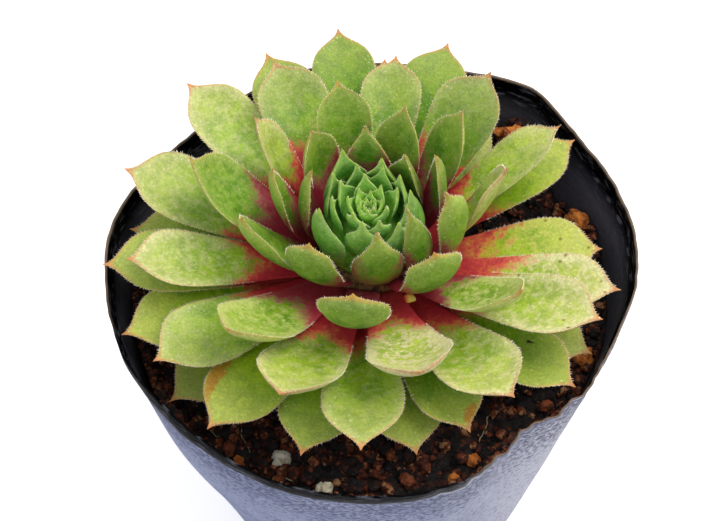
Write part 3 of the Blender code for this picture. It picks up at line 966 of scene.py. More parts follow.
def bristles(
    roots: Points, directions: Points, lengths: Points, radius: float, sides: int = 3
) -> tuple[Points, list[tuple[int, int, int]]]:
    """Makes thin spikes.

    Args:
        roots: Where each spike starts.
        directions: Which way each one points.
        lengths: How long each one is.
        radius: The spikes' radius at the root.
        sides: How many sides each spike has.

    Returns:
        The vertices and the triangles.
    """
    forward = unit(directions)
    helper = np.where(np.abs(forward[:, 2:3]) < 0.8, [[0.0, 0.0, 1.0]], [[1.0, 0.0, 0.0]])
    across = unit(np.cross(forward, helper))
    other = np.cross(forward, across)
    rows = []
    for k in range(sides):
        turn = 2 * math.pi * k / sides
        rows.append(roots + radius * (math.cos(turn) * across + math.sin(turn) * other))
    rows.append(roots + forward * lengths[:, None])
    points = np.stack(rows, axis=1).reshape(-1, 3)
    step = sides + 1
    faces = [
        (step * i + k, step * i + (k + 1) % sides, step * i + sides)
        for i in range(len(roots))
        for k in range(sides)
    ]
    return points, faces


@dataclass(frozen=True)
class Character:
    """How one leaf looks beside its neighbours.

    Attributes:
        flush: Strength of the crimson at its foot.
        reach: How much further out the crimson goes than the rule says, in mm.
        tint: Greener and darker (-1) to yellower and brighter (1); the tints given for single leaves are
            partly their own tone and partly painted light and shade.
        bloom: How much thicker its whitish bloom is, as a share; the blooms given for single leaves are
            likewise partly painted light and shade.
        stain: Where it is rust-stained: along, across, length and width in mm, or nothing.
        specks: How strongly it is specked with brown.
        cup: How much of the usual cupping it has.
        longer: Its length, as a share of what the rule and its habit give.
        broader: Its width, in the same way.
    """

    flush: float = 1.0
    reach: float = 0.0
    tint: float | None = None
    bloom: float = 0.0
    stain: tuple[float, float, float, float] | None = None
    specks: float = 0.0
    cup: float = 1.0
    longer: float = 1.0
    broader: float = 1.0


CHARACTERS = {
    21: Character(reach=0.5),
    25: Character(tint=-0.8, reach=3.5),
    26: Character(tint=-0.8),
    29: Character(tint=-0.5),
    31: Character(flush=0.7, reach=-4),
    33: Character(reach=2),
    34: Character(flush=0.7, cup=0.35, tint=-0.9),
    36: Character(reach=2.5, bloom=0.5),
    37: Character(tint=1.0, bloom=3.8, reach=-1, stain=(0.93, 0.5, 2.4, 2.4)),
    38: Character(reach=2.5),
    39: Character(tint=1.0, bloom=3.0),
    41: Character(reach=3),
    42: Character(tint=1.0, bloom=3.2, reach=-1.5),
    43: Character(tint=-1.0, bloom=-0.5),
    44: Character(tint=-0.3, bloom=0.4),
    45: Character(flush=0.8, tint=0.5, bloom=1.2, specks=1.0),
    46: Character(tint=-1.0, bloom=-0.4, reach=4),
    47: Character(tint=0.3, bloom=0.4),
    50: Character(tint=0.2, bloom=0.6),
    51: Character(tint=-1.0, bloom=-0.5, longer=1.08, broader=1.2),
    52: Character(tint=-0.5, bloom=-0.4),
    53: Character(flush=0.7, reach=4, tint=0.8, bloom=1.8, specks=0.8),
    54: Character(tint=-0.3, bloom=0.2),
    55: Character(tint=-0.4, bloom=-0.3),
    59: Character(tint=-1.0, bloom=-1.0),
    60: Character(stain=(0.78, -0.8, 7.0, 2.2), tint=0.8, bloom=-0.6),
    63: Character(stain=(0.9, 0.5, 2.4, 1.8), tint=-0.5, bloom=-0.4),
    64: Character(tint=-1.0, bloom=-0.8),
    66: Character(flush=0.6, reach=4, tint=1.0, bloom=3.0, specks=0.8),
    67: Character(tint=-0.6, bloom=-0.5),
    68: Character(tint=-0.2, bloom=-0.8),
    72: Character(tint=-0.6, longer=1.06),
}


@dataclass
class FleshyLeaf:
    """One leaf: a blade lofted along its rib, with its fringe and its gland hairs.

    Attributes:
        number: Its place in the spiral, from the growing point outwards.
        azimuth: The direction that it grows in, about the rosette's axis.
        base_radius: How far from the axis it starts.
        base_height: How far above the collar it starts.
        length: Its length along the rib.
        half_width: Its greatest half width.
        thickness: Its greatest thickness.
        rise: Its rise at base, middle and tip, in degrees.
        cup: How high its margins stand above its rib, as a share of the half width.
        taper: The power that draws out its pointed end.
        roll: How far its far end is turned about its rib, in radians.
        lower_reach: How much further out the crimson goes on its lower face, in mm.
        rows: Sections along it.
        columns: Points across each section.
        fringe_span: Where its fringe starts and ends along it.
        fringe_spacing: How far the cilia of the fringe stand apart.
        fringe_length: How long a usual cilium is.
        fringe_radius: Its radius at the root.
        hair_density: Gland hairs on a square millimetre.
        hair_lengths: The shortest and the longest gland hair, in mm.
        hair_radius: Their radius at the root.
        flush_share: How far out the crimson goes, as a share of the length.
        flush_radius: How far out it goes at least on a lying leaf, in mm from the rosette's axis.
    """

    number: int
    azimuth: float
    base_radius: float
    base_height: float
    length: float
    half_width: float
    thickness: float
    rise: tuple[float, float, float]
    cup: float
    taper: float
    roll: float
    lower_reach: float = -2.0
    rows: int = 46
    columns: int = 19
    fringe_span: tuple[float, float] = (0.38, 0.965)
    fringe_spacing: float = 0.42 * MM
    fringe_length: float = 0.46 * MM
    fringe_radius: float = 0.085 * MM
    hair_density: float = 1.1
    hair_lengths: tuple[float, float] = (0.16, 0.32)
    hair_radius: float = 0.04 * MM
    flush_share: float = 0.38
    flush_radius: float = 17.5

    @classmethod
    def grown(cls, number: int) -> "FleshyLeaf":
        """Grows the leaf of one number: the rule for its age, with its own habit.

        Args:
            number: Its place in the spiral.

        Returns:
            The leaf.
        """

        def column(i: int) -> float:
            """One column of the table of ages, read at the leaf's number."""
            return smooth_curve([(row[0], row[i]) for row in AGES], number)

        habit, character = HABITS.get(number, ()), CHARACTERS.get(number, Character())
        turn, lift, stretch, broad, roll, curl, blunt = habit + REGULAR[len(habit) :]
        radius = column(1) * MM
        lower_reach = 2.5 if number <= OLDEST_UPRIGHT else -2.0
        if number <= OLDEST_IN_HEART:
            radius = max(radius - HEART_ROOT, 0.2 * MM)
            lower_reach = 1.0
        return cls(
            number=number,
            azimuth=math.radians(FIRST_AZIMUTH + number * GOLDEN_ANGLE + turn),
            base_radius=radius,
            base_height=column(2) * MM,
            length=column(3) * MM * stretch * character.longer,
            half_width=column(4) * MM * broad * character.broader,
            thickness=column(5) * MM,
            rise=(column(6), column(7) + lift, column(8) + lift + curl),
            cup=column(9) * character.cup,
            taper=column(10) * blunt,
            roll=math.radians(roll),
            lower_reach=lower_reach,
        )

    def __post_init__(self) -> None:
        """Works out the rib and the grid of the blade, whose rows are closer together towards the point."""
        marks = tuple(zip((0, 0.5, 1), self.rise))
        angles = np.radians([smooth_curve(marks, i / RIB_STEPS) for i in range(RIB_STEPS + 1)])
        middles = (angles[1:] + angles[:-1]) / 2
        step = self.length / RIB_STEPS
        self.rib_radius = self.base_radius + np.concatenate(([0], np.cumsum(step * np.cos(middles))))
        self.rib_height = self.base_height + np.concatenate(([0], np.cumsum(step * np.sin(middles))))
        self.rib_rise = angles
        self.dice = np.random.default_rng(1000 + self.number)
        self.character = CHARACTERS.get(self.number, Character())
        self.along = 1 - (1 - np.linspace(0, 1, self.rows)) ** 1.35
        self.across = np.sin(np.linspace(-math.pi / 2, math.pi / 2, self.columns))

    def surface(self, along: Points, across: Points, lift: float) -> Points:
        """Points of the blade in the part's frame.

        Args:
            along: Shares of the length, one for each row.
            across: Shares of the half width from margin (-1) to margin (1).
            lift: UPPER_SHARE for the upper face, UPPER_SHARE - 1 for the lower one.

        Returns:
            An array of rows, columns and coordinates.
        """
        marks = np.linspace(0, 1, RIB_STEPS + 1)
        ribs = (self.rib_radius, self.rib_height, self.rib_rise)
        radius, height, rise = (np.interp(along, marks, rib)[:, None] for rib in ribs)
        flesh = np.array([smooth_curve(FLESH, s) for s in along])[:, None] * self.thickness
        u, roll = across[None, :], self.roll * along[:, None]
        reach = u * self.outline(along)[:, None]
        raised = lift * flesh * (1 - np.abs(u) ** 2.2) ** 0.7
        if lift > 0:  # the upper face is hollowed a little along its middle
            hollow = np.exp(-((u / 0.42) ** 2)) * smooth_step(0.15, 0.5, along)[:, None]
            raised = raised - 0.1 * flesh * hollow
        raised = raised + np.abs(reach * u) * self.cup * along[:, None] + reach * np.sin(roll)
        azimuth = self.azimuth + reach * np.cos(roll) / np.maximum(radius, 1 * MM)
        radius = radius - raised * np.sin(rise)
        height = height + raised * np.cos(rise)
        return leaned(radius * np.cos(azimuth), radius * np.sin(azimuth), height)

    def outline(self, along: Points) -> Points:
        """Half width of the blade, more claw-like the younger the leaf is.

        Args:
            along: Shares of the length.

        Returns:
            The half width at each of them.
        """
        blunt = np.array([smooth_curve(OUTLINE, s**self.taper) for s in along])
        clawed = np.array([smooth_curve(CLAW_OUTLINE, s) for s in along])
        share = 1 - float(smooth_step(12, 36, self.number))
        return (blunt + (clawed - blunt) * share) * self.half_width

    def edge_distance(self) -> Points:
        """Distance from the margin in mm.

        Returns:
            The distance at each row and column of the blade.
        """
        outline = self.outline(self.along)
        slope = np.gradient(outline, self.along * self.length)
        lateral = (1 - np.abs(self.across[None, :])) * outline[:, None]
        return lateral / np.sqrt(1 + slope[:, None] ** 2) / MM

    def flush(self, further: float = 0.0) -> Points:
        """How crimson the leaf is: all over at the foot, then along its margins, with a green tongue between.

        Args:
            further: How much further out the crimson goes than on the upper face, in mm.

        Returns:
            The share of crimson at each row and column of the blade.
        """
        from_foot = self.along[:, None] * self.length / MM
        limit = self.flush_share * self.length / MM + self.character.reach + further
        if self.number > OLDEST_UPRIGHT:
            limit = max(self.flush_radius - self.base_radius / MM + self.character.reach, limit)
        fading = 1.2 + 0.1 * self.length / MM
        edge = limit - 3.0 + 5.5 * np.abs(self.across[None, :]) ** 1.5
        strength = self.character.flush * float(smooth_step(11, 30, self.number))
        return (0.5 + 0.5 * np.clip((edge - from_foot) / fading, -1, 1)) * strength

    def stain(self) -> Points:
        """How rusty the blade is, for the few leaves that are.

        Returns:
            The strength of the stain at each row and column of the blade.
        """
        if self.character.stain is None:
            return np.zeros((len(self.along), len(self.across)))
        s, u, long, wide = self.character.stain
        ahead = (self.along[:, None] - s) * self.length / (long * MM)
        aside = (self.across[None, :] - u) * self.outline(self.along)[:, None] / (wide * MM)
        return np.clip(1.2 - np.hypot(ahead, aside), 0, 1)

    def blade(self, stock: MeshStock) -> tuple[Points, Points]:
        """Adds the blade's upper and lower faces.

        Args:
            stock: The piece that the blade goes into.

        Returns:
            The points of the upper and the lower face.
        """
        along, across = self.along, self.across
        upper = self.surface(along, across, UPPER_SHARE)
        lower = self.surface(along, across, UPPER_SHARE - 1)
        outward = unit(upper - lower + 1e-9)
        seed = 37.0 * self.number
        for i in range(len(along)):
            for j in range(1, len(across) - 1):
                at = Vector(upper[i, j]) / (5 * MM) + Vector((seed, 0, 0))
                swell = (noise.noise(at) * 0.16 + noise.noise(at * 3.1) * 0.05) * MM
                upper[i, j] += outward[i, j] * swell
                lower[i, j] -= outward[i, j] * swell * 0.8
        middle = (upper + lower) / 2
        for j in (0, -1):
            upper[:, j] = lower[:, j] = middle[:, j]
        rows, columns = len(along), len(across)
        body, inside = rows - 1, columns - 2
        points = [upper[:body].reshape(-1, 3), lower[:body, 1:-1].reshape(-1, 3), middle[-1:, columns // 2]]
        # The vertices' indices by row and column: the lower face shares its margins with the upper one
        high = np.arange(body * columns).reshape(body, columns)
        low, tip = high.copy(), body * (columns + inside)
        low[:, 1:-1] = np.arange(body * columns, tip).reshape(body, inside)
        faces: list[Sequence[int]] = []
        for i in range(body - 1):
            for j in range(columns - 1):
                faces.append((high[i, j], high[i + 1, j], high[i + 1, j + 1], high[i, j + 1]))
                faces.append((low[i, j], low[i, j + 1], low[i + 1, j + 1], low[i + 1, j]))
        for j in range(columns - 1):
            faces.append((high[-1, j], tip, high[-1, j + 1]))
            faces.append((low[-1, j + 1], tip, low[-1, j]))
        faces.append((*high[0], *low[0, -2:0:-1]))

        def spread(values: Points, inner: Points) -> Points:
            """One number for each vertex, in the order of the vertices: upper face, lower face, point."""
            parts = [values[:body].ravel(), inner[:body, 1:-1].ravel(), values[-1:, columns // 2]]
            return np.concatenate(parts)

        edge, one, tint = self.edge_distance(), np.ones((rows, columns)), self.character.tint
        if tint is None:
            tint = float(self.dice.uniform(-0.5, 0.5))
            if self.number <= OLDEST_IN_HEART:  # the growing point is the palest
                tint += 0.9 - 1.7 * float(smooth_step(-8, 14, self.number))
        stock.add(
            np.concatenate(points),
            faces,
            along=spread(along[:, None] * one, along[:, None] * one),
            edge=spread(edge, edge),
            upper=spread(one, 0 * one),
            flush=spread(self.flush(), self.flush(self.lower_reach) * 0.75),
            stain=spread(self.stain(), 0 * one),
            tint=tint,
            bloom=self.character.bloom,
            specks=self.character.specks,
        )
        return upper, lower

    def fringe(self, stock: MeshStock) -> None:
        """Adds the fringe of cilia along both margins, over the outer part, up to near the point.

        Args:
            stock: The piece that the fringe goes into.
        """
        along = np.linspace(*self.fringe_span, 400)
        across = np.array([-1.0, -0.9, 0.0, 0.9, 1.0])
        sheet = self.surface(along, across, 0.0)
        for side, inner in ((0, 1), (-1, -2)):
            margin = sheet[:, side]
            lengths = np.concatenate(([0], np.cumsum(np.linalg.norm(np.diff(margin, axis=0), axis=1))))
            count = max(int(lengths[-1] / self.fringe_spacing), 2)
            marks = np.linspace(0, lengths[-1], count) + self.dice.uniform(-0.15, 0.15, count) * MM
            at = np.stack([np.interp(marks, lengths, margin[:, k]) for k in range(3)], axis=1)
            tangent = unit(np.gradient(margin, axis=0))
            outward = unit(margin - sheet[:, inner])
            outward = unit(outward - tangent * np.sum(outward * tangent, axis=1, keepdims=True))
            direction = outward + 0.45 * tangent
            way = np.stack([np.interp(marks, lengths, direction[:, k]) for k in range(3)], axis=1)
            way = unit(way) + self.dice.normal(0, 0.2, (count, 3))
            long = self.fringe_length * self.dice.uniform(0.6, 1.25, count)
            points, faces = bristles(at - 0.08 * MM * unit(way), way, long, self.fringe_radius)
            stock.add(points, faces, finish=1)

    def hairs(self, stock: MeshStock, faces: Sequence[tuple[Points, float]]) -> None:
        """Adds short gland hairs over the faces of the blade, denser towards the margins.

        Args:
            stock: The piece that the hairs go into.
            faces: The points of each face, with -1 for the upper one and 1 for the lower one.
        """
        for grid, turn in faces:
            du, ds = np.gradient(grid, axis=1), np.gradient(grid, axis=0)
            across_axis = np.cross(ds, du)
            area = np.linalg.norm(across_axis, axis=-1) / MM**2
            normal = unit(across_axis) * turn
            expected = area[:-1, :-1] * self.hair_density
            expected[self.along[:-1] < 0.35] = 0
            edge = np.abs(np.linspace(-1, 1, grid.shape[1]))[:-1]
            expected = expected * (0.6 + 0.9 * edge[None, :] ** 3)
            counts = self.dice.poisson(expected)
            rows, columns = np.nonzero(counts)
            repeats = counts[rows, columns]
            rows, columns = np.repeat(rows, repeats), np.repeat(columns, repeats)
            if not len(rows):
                continue
            a, b = self.dice.random((2, len(rows), 1))
            root = (
                grid[rows, columns] * (1 - a) * (1 - b)
                + grid[rows + 1, columns] * a * (1 - b)
                + grid[rows, columns + 1] * (1 - a) * b
                + grid[rows + 1, columns + 1] * a * b
            )
            way = normal[rows, columns] + self.dice.normal(0, 0.3, (len(rows), 3))
            long = self.dice.uniform(*self.hair_lengths, len(rows)) * MM
            points, spikes = bristles(root - 0.03 * MM * normal[rows, columns], way, long, self.hair_radius)
            stock.add(points, spikes, finish=1)

    def build(self, stock: MeshStock) -> None:
        """Adds the whole leaf: blade, fringe and gland hairs.

        Args:
            stock: The piece that the leaf goes into.
        """
        upper, lower = self.blade(stock)
        self.fringe(stock)
        self.hairs(stock, ((upper, -1.0), (lower, 1.0)))


@dataclass
class Rosette:
    """The whole plant above the soil: the bud of youngest leaves and the free leaves round it.

    Attributes:
        skins: The finish of the leaves at each stage of their life.
        core_sides: Steps round the cone of young tissue in the heart.
    """

    skins: dict[Growth, LeafSkin] = field(default_factory=lambda: SKINS)
    core_sides: int = 24

    def build(self) -> None:
        """Builds and dresses every leaf."""
        materials = {stage: skin.material() for stage, skin in self.skins.items()}
        hair = GlandHair().material()
        self.build_heart([materials[Growth.HEART], hair])
        for number in range(OLDEST_IN_HEART + 1, OLDEST_LEAF + 1):
            if number in WITHERED:
                continue
            stock, stage = MeshStock(), Growth.of(number)
            FleshyLeaf.grown(number).build(stock)
            node = f"leaf_{number}"
            stock.piece(f"fleshy_{node}", [materials[stage], hair], stage.value, [node])

    def build_heart(self, materials: Sequence[Material]) -> None:
        """Builds the youngest leaves as one bud.

        Args:
            materials: The skin of the heart and the gland hairs.
        """
        stock = MeshStock()
        for number in range(YOUNGEST_LEAF, OLDEST_IN_HEART + 1):
            leaf = FleshyLeaf.grown(number)
            inner = 1 - float(smooth_step(2, 16, number))
            innermost = 1 - float(smooth_step(YOUNGEST_LEAF, 8, number))
            # The claw stands on top of the leaf's body, and the growing point lies lower than those round it
            leaf = replace(
                leaf,
                length=leaf.length * (1 + 0.32 * inner),
                half_width=leaf.half_width * (1 + 0.5 * inner),
                base_height=leaf.base_height - 1.9 * innermost * MM,
                rise=(leaf.rise[0], leaf.rise[1] + 2, 90),
                rows=28,
                columns=15,
                fringe_length=0.26 * MM,
                fringe_spacing=0.4 * MM,
            )
            leaf.build(stock)
        self.core(stock)
        stock.piece("heart_bud", materials, Growth.HEART.value, ["bud"])

    def core(self, stock: MeshStock) -> None:
        """Adds the cone of young tissue that the heart's leaves grow on.

        Args:
            stock: The piece that the cone goes into.
        """
        foot = smooth_curve([(row[0], row[2]) for row in AGES], OLDEST_IN_HEART + 2) * MM + 0.3 * MM
        sides = self.core_sides
        turns = np.linspace(0, 2 * math.pi, sides, endpoint=False)
        rings = []
        for radius, height in HEART_CORE:
            level = foot + (height * 0.85) * MM
            rings.append(leaned(radius * MM * np.cos(turns), radius * MM * np.sin(turns), level))
        last = sides * (len(rings) - 1)
        faces = tube_faces(len(rings), sides, down=True)
        faces += [list(range(sides)), [last + k for k in reversed(range(sides))]]
        stock.add(np.concatenate(rings), faces, flush=0.1, edge=3.0, along=0.3)


def stretch(azimuth: Points, marks: Sequence[float]) -> Points:
    """Share of a feature that goes only part of the way round the pot.

    Args:
        azimuth: Directions about the pot's axis, in radians.
        marks: Where it starts, is whole, begins to fade and ends, in degrees.

    Returns:
        From 0 where there is none of it to 1 where it is whole.
    """
    degrees = np.degrees(azimuth) % 360
    return smooth_step(marks[0], marks[1], degrees) * (1 - smooth_step(marks[2], marks[3], degrees))


def wall_radius(height: Any) -> Any:
    """Outside radius of the round pot at a height, or at each height of an array."""
    return BASE_RADIUS + (RIM_RADIUS - BASE_RADIUS) * height / POT_HEIGHT


def squash(azimuth: Any, height: Any) -> Any:
    """How far the soft pot stands out of round, from nothing at its base to its most at the rim.

    Args:
        azimuth: Directions about the pot's axis, in radians.
        height: Heights above the ground.

    Returns:
        How far the wall is pressed out (+) or in (-).
    """
    shift = 0 * np.asarray(azimuth, float)
    for centre, half_width, depth in DENTS:
        away = (np.degrees(azimuth) - centre + 180) % 360 - 180
        shift = shift + depth * np.exp(-((away / half_width) ** 2))
    return shift * (np.maximum(height, 0) / POT_HEIGHT) ** 1.5


@dataclass
class SoftPot:
    """The thin film pot: outside wall, black rim band, inside wall and a floor with drain holes.

    Attributes:
        film: Thickness of the film as it shows at the cut edge.
        sides: Steps round the pot.
        wall_rows: Steps up the wall.
        band_rows: Steps up the rim above it.
        crumple: Where the rim begins to cave in, has caved in, begins to recover and is smooth, in degrees.
        band: Where the rolled black band starts, is whole, grows thin and ends, in degrees.
        drawn_in: Where the rim is drawn in: azimuth and half width in degrees, and depth in mm.
        stands_out: Where the wall below it stands out, in the same way.
    """

    film: float = 0.35 * MM
    sides: int = 480
    wall_rows: int = 46
    band_rows: int = 9
    crumple: tuple[float, float, float, float] = (274, 288, 320, 334)
    band: tuple[float, float, float, float] = (178, 202, 284, 296)
    drawn_in: tuple[float, float, float] = (226, 15, -1.3)
    stands_out: tuple[float, float, float] = (216, 26, 1.4)

    def crumpled(self, azimuth: Points) -> Points:
        """Share of crumpling of the rim, from 0 where it is smooth to 1 where it has caved in."""
        return stretch(azimuth, self.crumple)

    def banded(self, azimuth: Points) -> Points:
        """Share of the rolled black band, which the rim only has round its front left."""
        return stretch(azimuth, self.band)

    def wrinkles(self, azimuth: Points, height: Points) -> Points:
        """Small folds of the film, outwards or inwards, which die out below the rim.

        Args:
            azimuth: Directions about the pot's axis.
            height: Heights above the ground, of the same shape.

        Returns:
            How far the film stands out, in metres.
        """
        depth = (POT_HEIGHT - height) / MM
        arc = azimuth * RIM_RADIUS / MM
        near = np.exp(-((np.maximum(depth, 0) / 5.0) ** 1.2))
        fine = np.zeros(azimuth.shape)
        rim = RIM_RADIUS / MM
        for index in np.ndindex(azimuth.shape):
            a, d = float(arc[index]), float(depth[index])
            ring = Vector((math.cos(a / rim) * rim, math.sin(a / rim) * rim, 0))
            value = 0.16 * noise.noise(Vector((ring.x / 7, ring.y / 7, d / 14)))
            if d < 14:
                sharp = noise.noise(Vector((ring.x / 2.4, ring.y / 2.4, d / 5 + 4)))
                value += 0.2 * sharp * float(near[index])
            fine[index] = value
        # At the front left the rim is drawn in, which dies out within a few mm, and the wall stands out 24 mm
        # below the rim
        degrees = np.degrees(azimuth) % 360
        middle, width, most = self.drawn_in
        drawn_in = most * np.exp(-(((degrees - middle) / width) ** 2)) * np.exp(-np.maximum(depth, 0) / 4)
        middle, width, most = self.stands_out
        stands_out = most * np.exp(-(((degrees - middle) / width) ** 2)) * np.exp(-(((depth - 24) / 17) ** 2))
        folds = self.crumpled(azimuth) * np.exp(-np.maximum(depth, 0) / 7) * (
            0.5 * np.sin(arc / 1.5 + 0.3 * depth) + 0.5 * np.sin(arc / 0.6 - 0.6 * depth) * np.sin(arc / 1.9)
        )
        return (fine + 0.6 * folds + drawn_in + stands_out) * MM

    def lip_height(self, azimuth: Points) -> Points:
        """Height of the cut edge, which wanders a little and is ragged where the film is crumpled.

        Args:
            azimuth: Directions about the pot's axis.

        Returns:
            Heights above the ground.
        """
        arc = azimuth * RIM_RADIUS / MM
        ragged = 0.25 * np.sin(arc / 2.1 + 1) + 0.2 * np.sin(arc / 0.55) * np.sin(arc / 1.3) - 0.3
        gentle = 0.15 * np.sin(3 * azimuth + 1) + 0.1 * np.sin(7 * azimuth)
        return POT_HEIGHT + (gentle + self.crumpled(azimuth) * ragged) * MM

    def rows(self, azimuth: Points, lip: Points) -> tuple[list[tuple[Points, Points, int]], int]:
        """Works out the rings of the pot, from its foot up its outside, and down its inside to the floor.

        Args:
            azimuth: Directions about the pot's axis.
            lip: Height of the cut edge in each of them.

        Returns:
            Each ring's radii, heights and finish, and how many of the wall's rings lie outside.
        """
        top = POT_HEIGHT - RIM_BAND
        outside: list[tuple[Points, Points, int]] = []
        smooth = 1 - self.crumpled(azimuth)
        for t in np.linspace(0, 1, self.wall_rows):
            height = FOOT_CORNER + (top - 0.25 * MM - FOOT_CORNER) * t + 0 * azimuth
            outside.append((self.wall(azimuth, height), height, 0))
        for t in np.linspace(0, 1, self.band_rows):
            height = top + (lip - top) * t
            bulge = RIM_LIP * smooth * (0.6 + 0.7 * math.sin(math.pi * min(t + 0.15, 1)) ** 0.7)
            outside.append((self.wall(azimuth, height) + bulge, height, 1))
        inside = [
            (radius - self.film, height - (self.film * 0.15 if i == 0 else 0), 1)
            for i, (radius, height, _) in enumerate(reversed(outside))
        ]
        inside = [row for row in inside if row[1].min() > self.film + FOOT_CORNER]
        foot = [(self.foot(azimuth, 0.0), 0 * azimuth, 0)]
        floor = [(self.foot(azimuth, self.film), 0 * azimuth + self.film, 1)]
        return foot + outside + inside + floor, len(outside)

    def build(self) -> None:
        """Builds the pot and dresses it."""
        azimuth = np.linspace(0, 2 * math.pi, self.sides, endpoint=False)
        lip = self.lip_height(azimuth)
        rows, outside = self.rows(azimuth, lip)
        points = np.concatenate(
            [np.stack([wide * np.cos(azimuth), wide * np.sin(azimuth), h], axis=1) for wide, h, _ in rows]
            + [np.array([[0.0, 0.0, 0.0], [0.0, 0.0, self.film]])]
        )
        count, centres = self.sides, len(rows) * self.sides
        faces: dict[int, list[Sequence[int]]] = {0: [], 1: []}
        banded = self.banded(azimuth)
        for index, face in enumerate(tube_faces(len(rows), count)):
            i, k = divmod(index, count)
            # The black band grows narrower towards its ends, from its lower edge upwards
            plain = i < outside and banded[k] < 0.95 - (i - self.wall_rows) / self.band_rows
            faces[0 if plain else max(rows[i][2], rows[i + 1][2])].append(face)
        last = (len(rows) - 1) * count
        for k in range(count):
            n = (k + 1) % count
            faces[0].append((n, k, centres))
            faces[1].append((last + k, last + n, centres + 1))
        # Both middles of the floor come last, and have no band and no folds
        below = [np.maximum(lip - h, 0) for _, h, _ in rows]
        # How crumpled the film is near the rim, which the outside's material paints darker as painted shade
        folds = [self.crumpled(azimuth) * np.exp(-depth / (5 * MM)) for depth in below]
        stock = MeshStock()
        stock.add(
            points,
            faces[0] + faces[1],
            lip=np.concatenate(below + [np.full(2, POT_HEIGHT)]),
            thin=np.concatenate([np.tile(1 - banded, len(rows)), np.zeros(2)]),
            pressed=np.concatenate(folds + [np.zeros(2)]),
        )
        stock.finishes = [0] * len(faces[0]) + [1] * len(faces[1])
        materials = [PotFilmOutside().material(), PotFilmRim().material()]
        self.drill(stock.piece("soft_pot", materials, "pot_film", ["pot"]))

    def wall(self, azimuth: Points, height: Points) -> Points:
        """Outside radius of the wall, where the pot is out of round and where its film is folded."""
        return wall_radius(height) + squash(azimuth, height) + self.wrinkles(azimuth, height)

    def foot(self, azimuth: Points, inset: float) -> Points:
        """Radius where the wall turns into the floor."""
        return np.full(azimuth.shape, BASE_RADIUS - FOOT_CORNER - inset)

    @staticmethod
    def drill(pot: bpy.types.Object) -> None:
        """Cuts the ring of drain holes through the floor.

        Args:
            pot: The pot's piece, which is changed.
        """
        for i in range(DRAIN_COUNT):
            angle = 2 * math.pi * (i + 0.5) / DRAIN_COUNT
            at = (DRAIN_CIRCLE * math.cos(angle), DRAIN_CIRCLE * math.sin(angle), 0)
            bpy.ops.mesh.primitive_cylinder_add(vertices=40, radius=DRAIN_RADIUS, depth=4 * MM, location=at)
            punch = bpy.context.object
            cut = pot.modifiers.new(f"drain_{i}", "BOOLEAN")
            cut.object, cut.operation, cut.solver = punch, "DIFFERENCE", "EXACT"
            depsgraph = bpy.context.evaluated_depsgraph_get()
            whole = bpy.data.meshes.new_from_object(pot.evaluated_get(depsgraph))
            pot.modifiers.clear()
            pot.data = whole
            bpy.data.objects.remove(punch)


def soil_level(x: float, y: float) -> float:
    """Height of the soil as the part has it: level at the wall, mounded up to the collar.

    Args:
        x: To the right of the pot's axis.
        y: Behind it.

    Returns:
        The height above the ground.
    """
    away = math.hypot(x - COLLAR.x, y - COLLAR.y) / MOUND_RADIUS
    crumbs = noise.fractal(Vector((x, y, 0)) / (4 * MM), 0.6, 2, 3)
    return SOIL_EDGE + SOIL_MOUND * math.exp(-(away**2)) + SOIL_ROUGHNESS * crumbs


@dataclass(frozen=True)
class Grain:
    """A lump that lies on the soil.

    Attributes:
        azimuth: Its direction about the pot's axis, in degrees.
        distance: How far it is from that axis, in mm.
        radius: Its radius in mm, before its shape is drawn.
        finish: What it is made of.
        sink: How deep it is sunk, as a share of the radius.
        lift: How far it lies above the bed, in mm, where crumbs are heaped under it.
    """

    azimuth: float
    distance: float
    radius: float
    finish: str
    sink: float = 0.25
    lift: float = 0.0


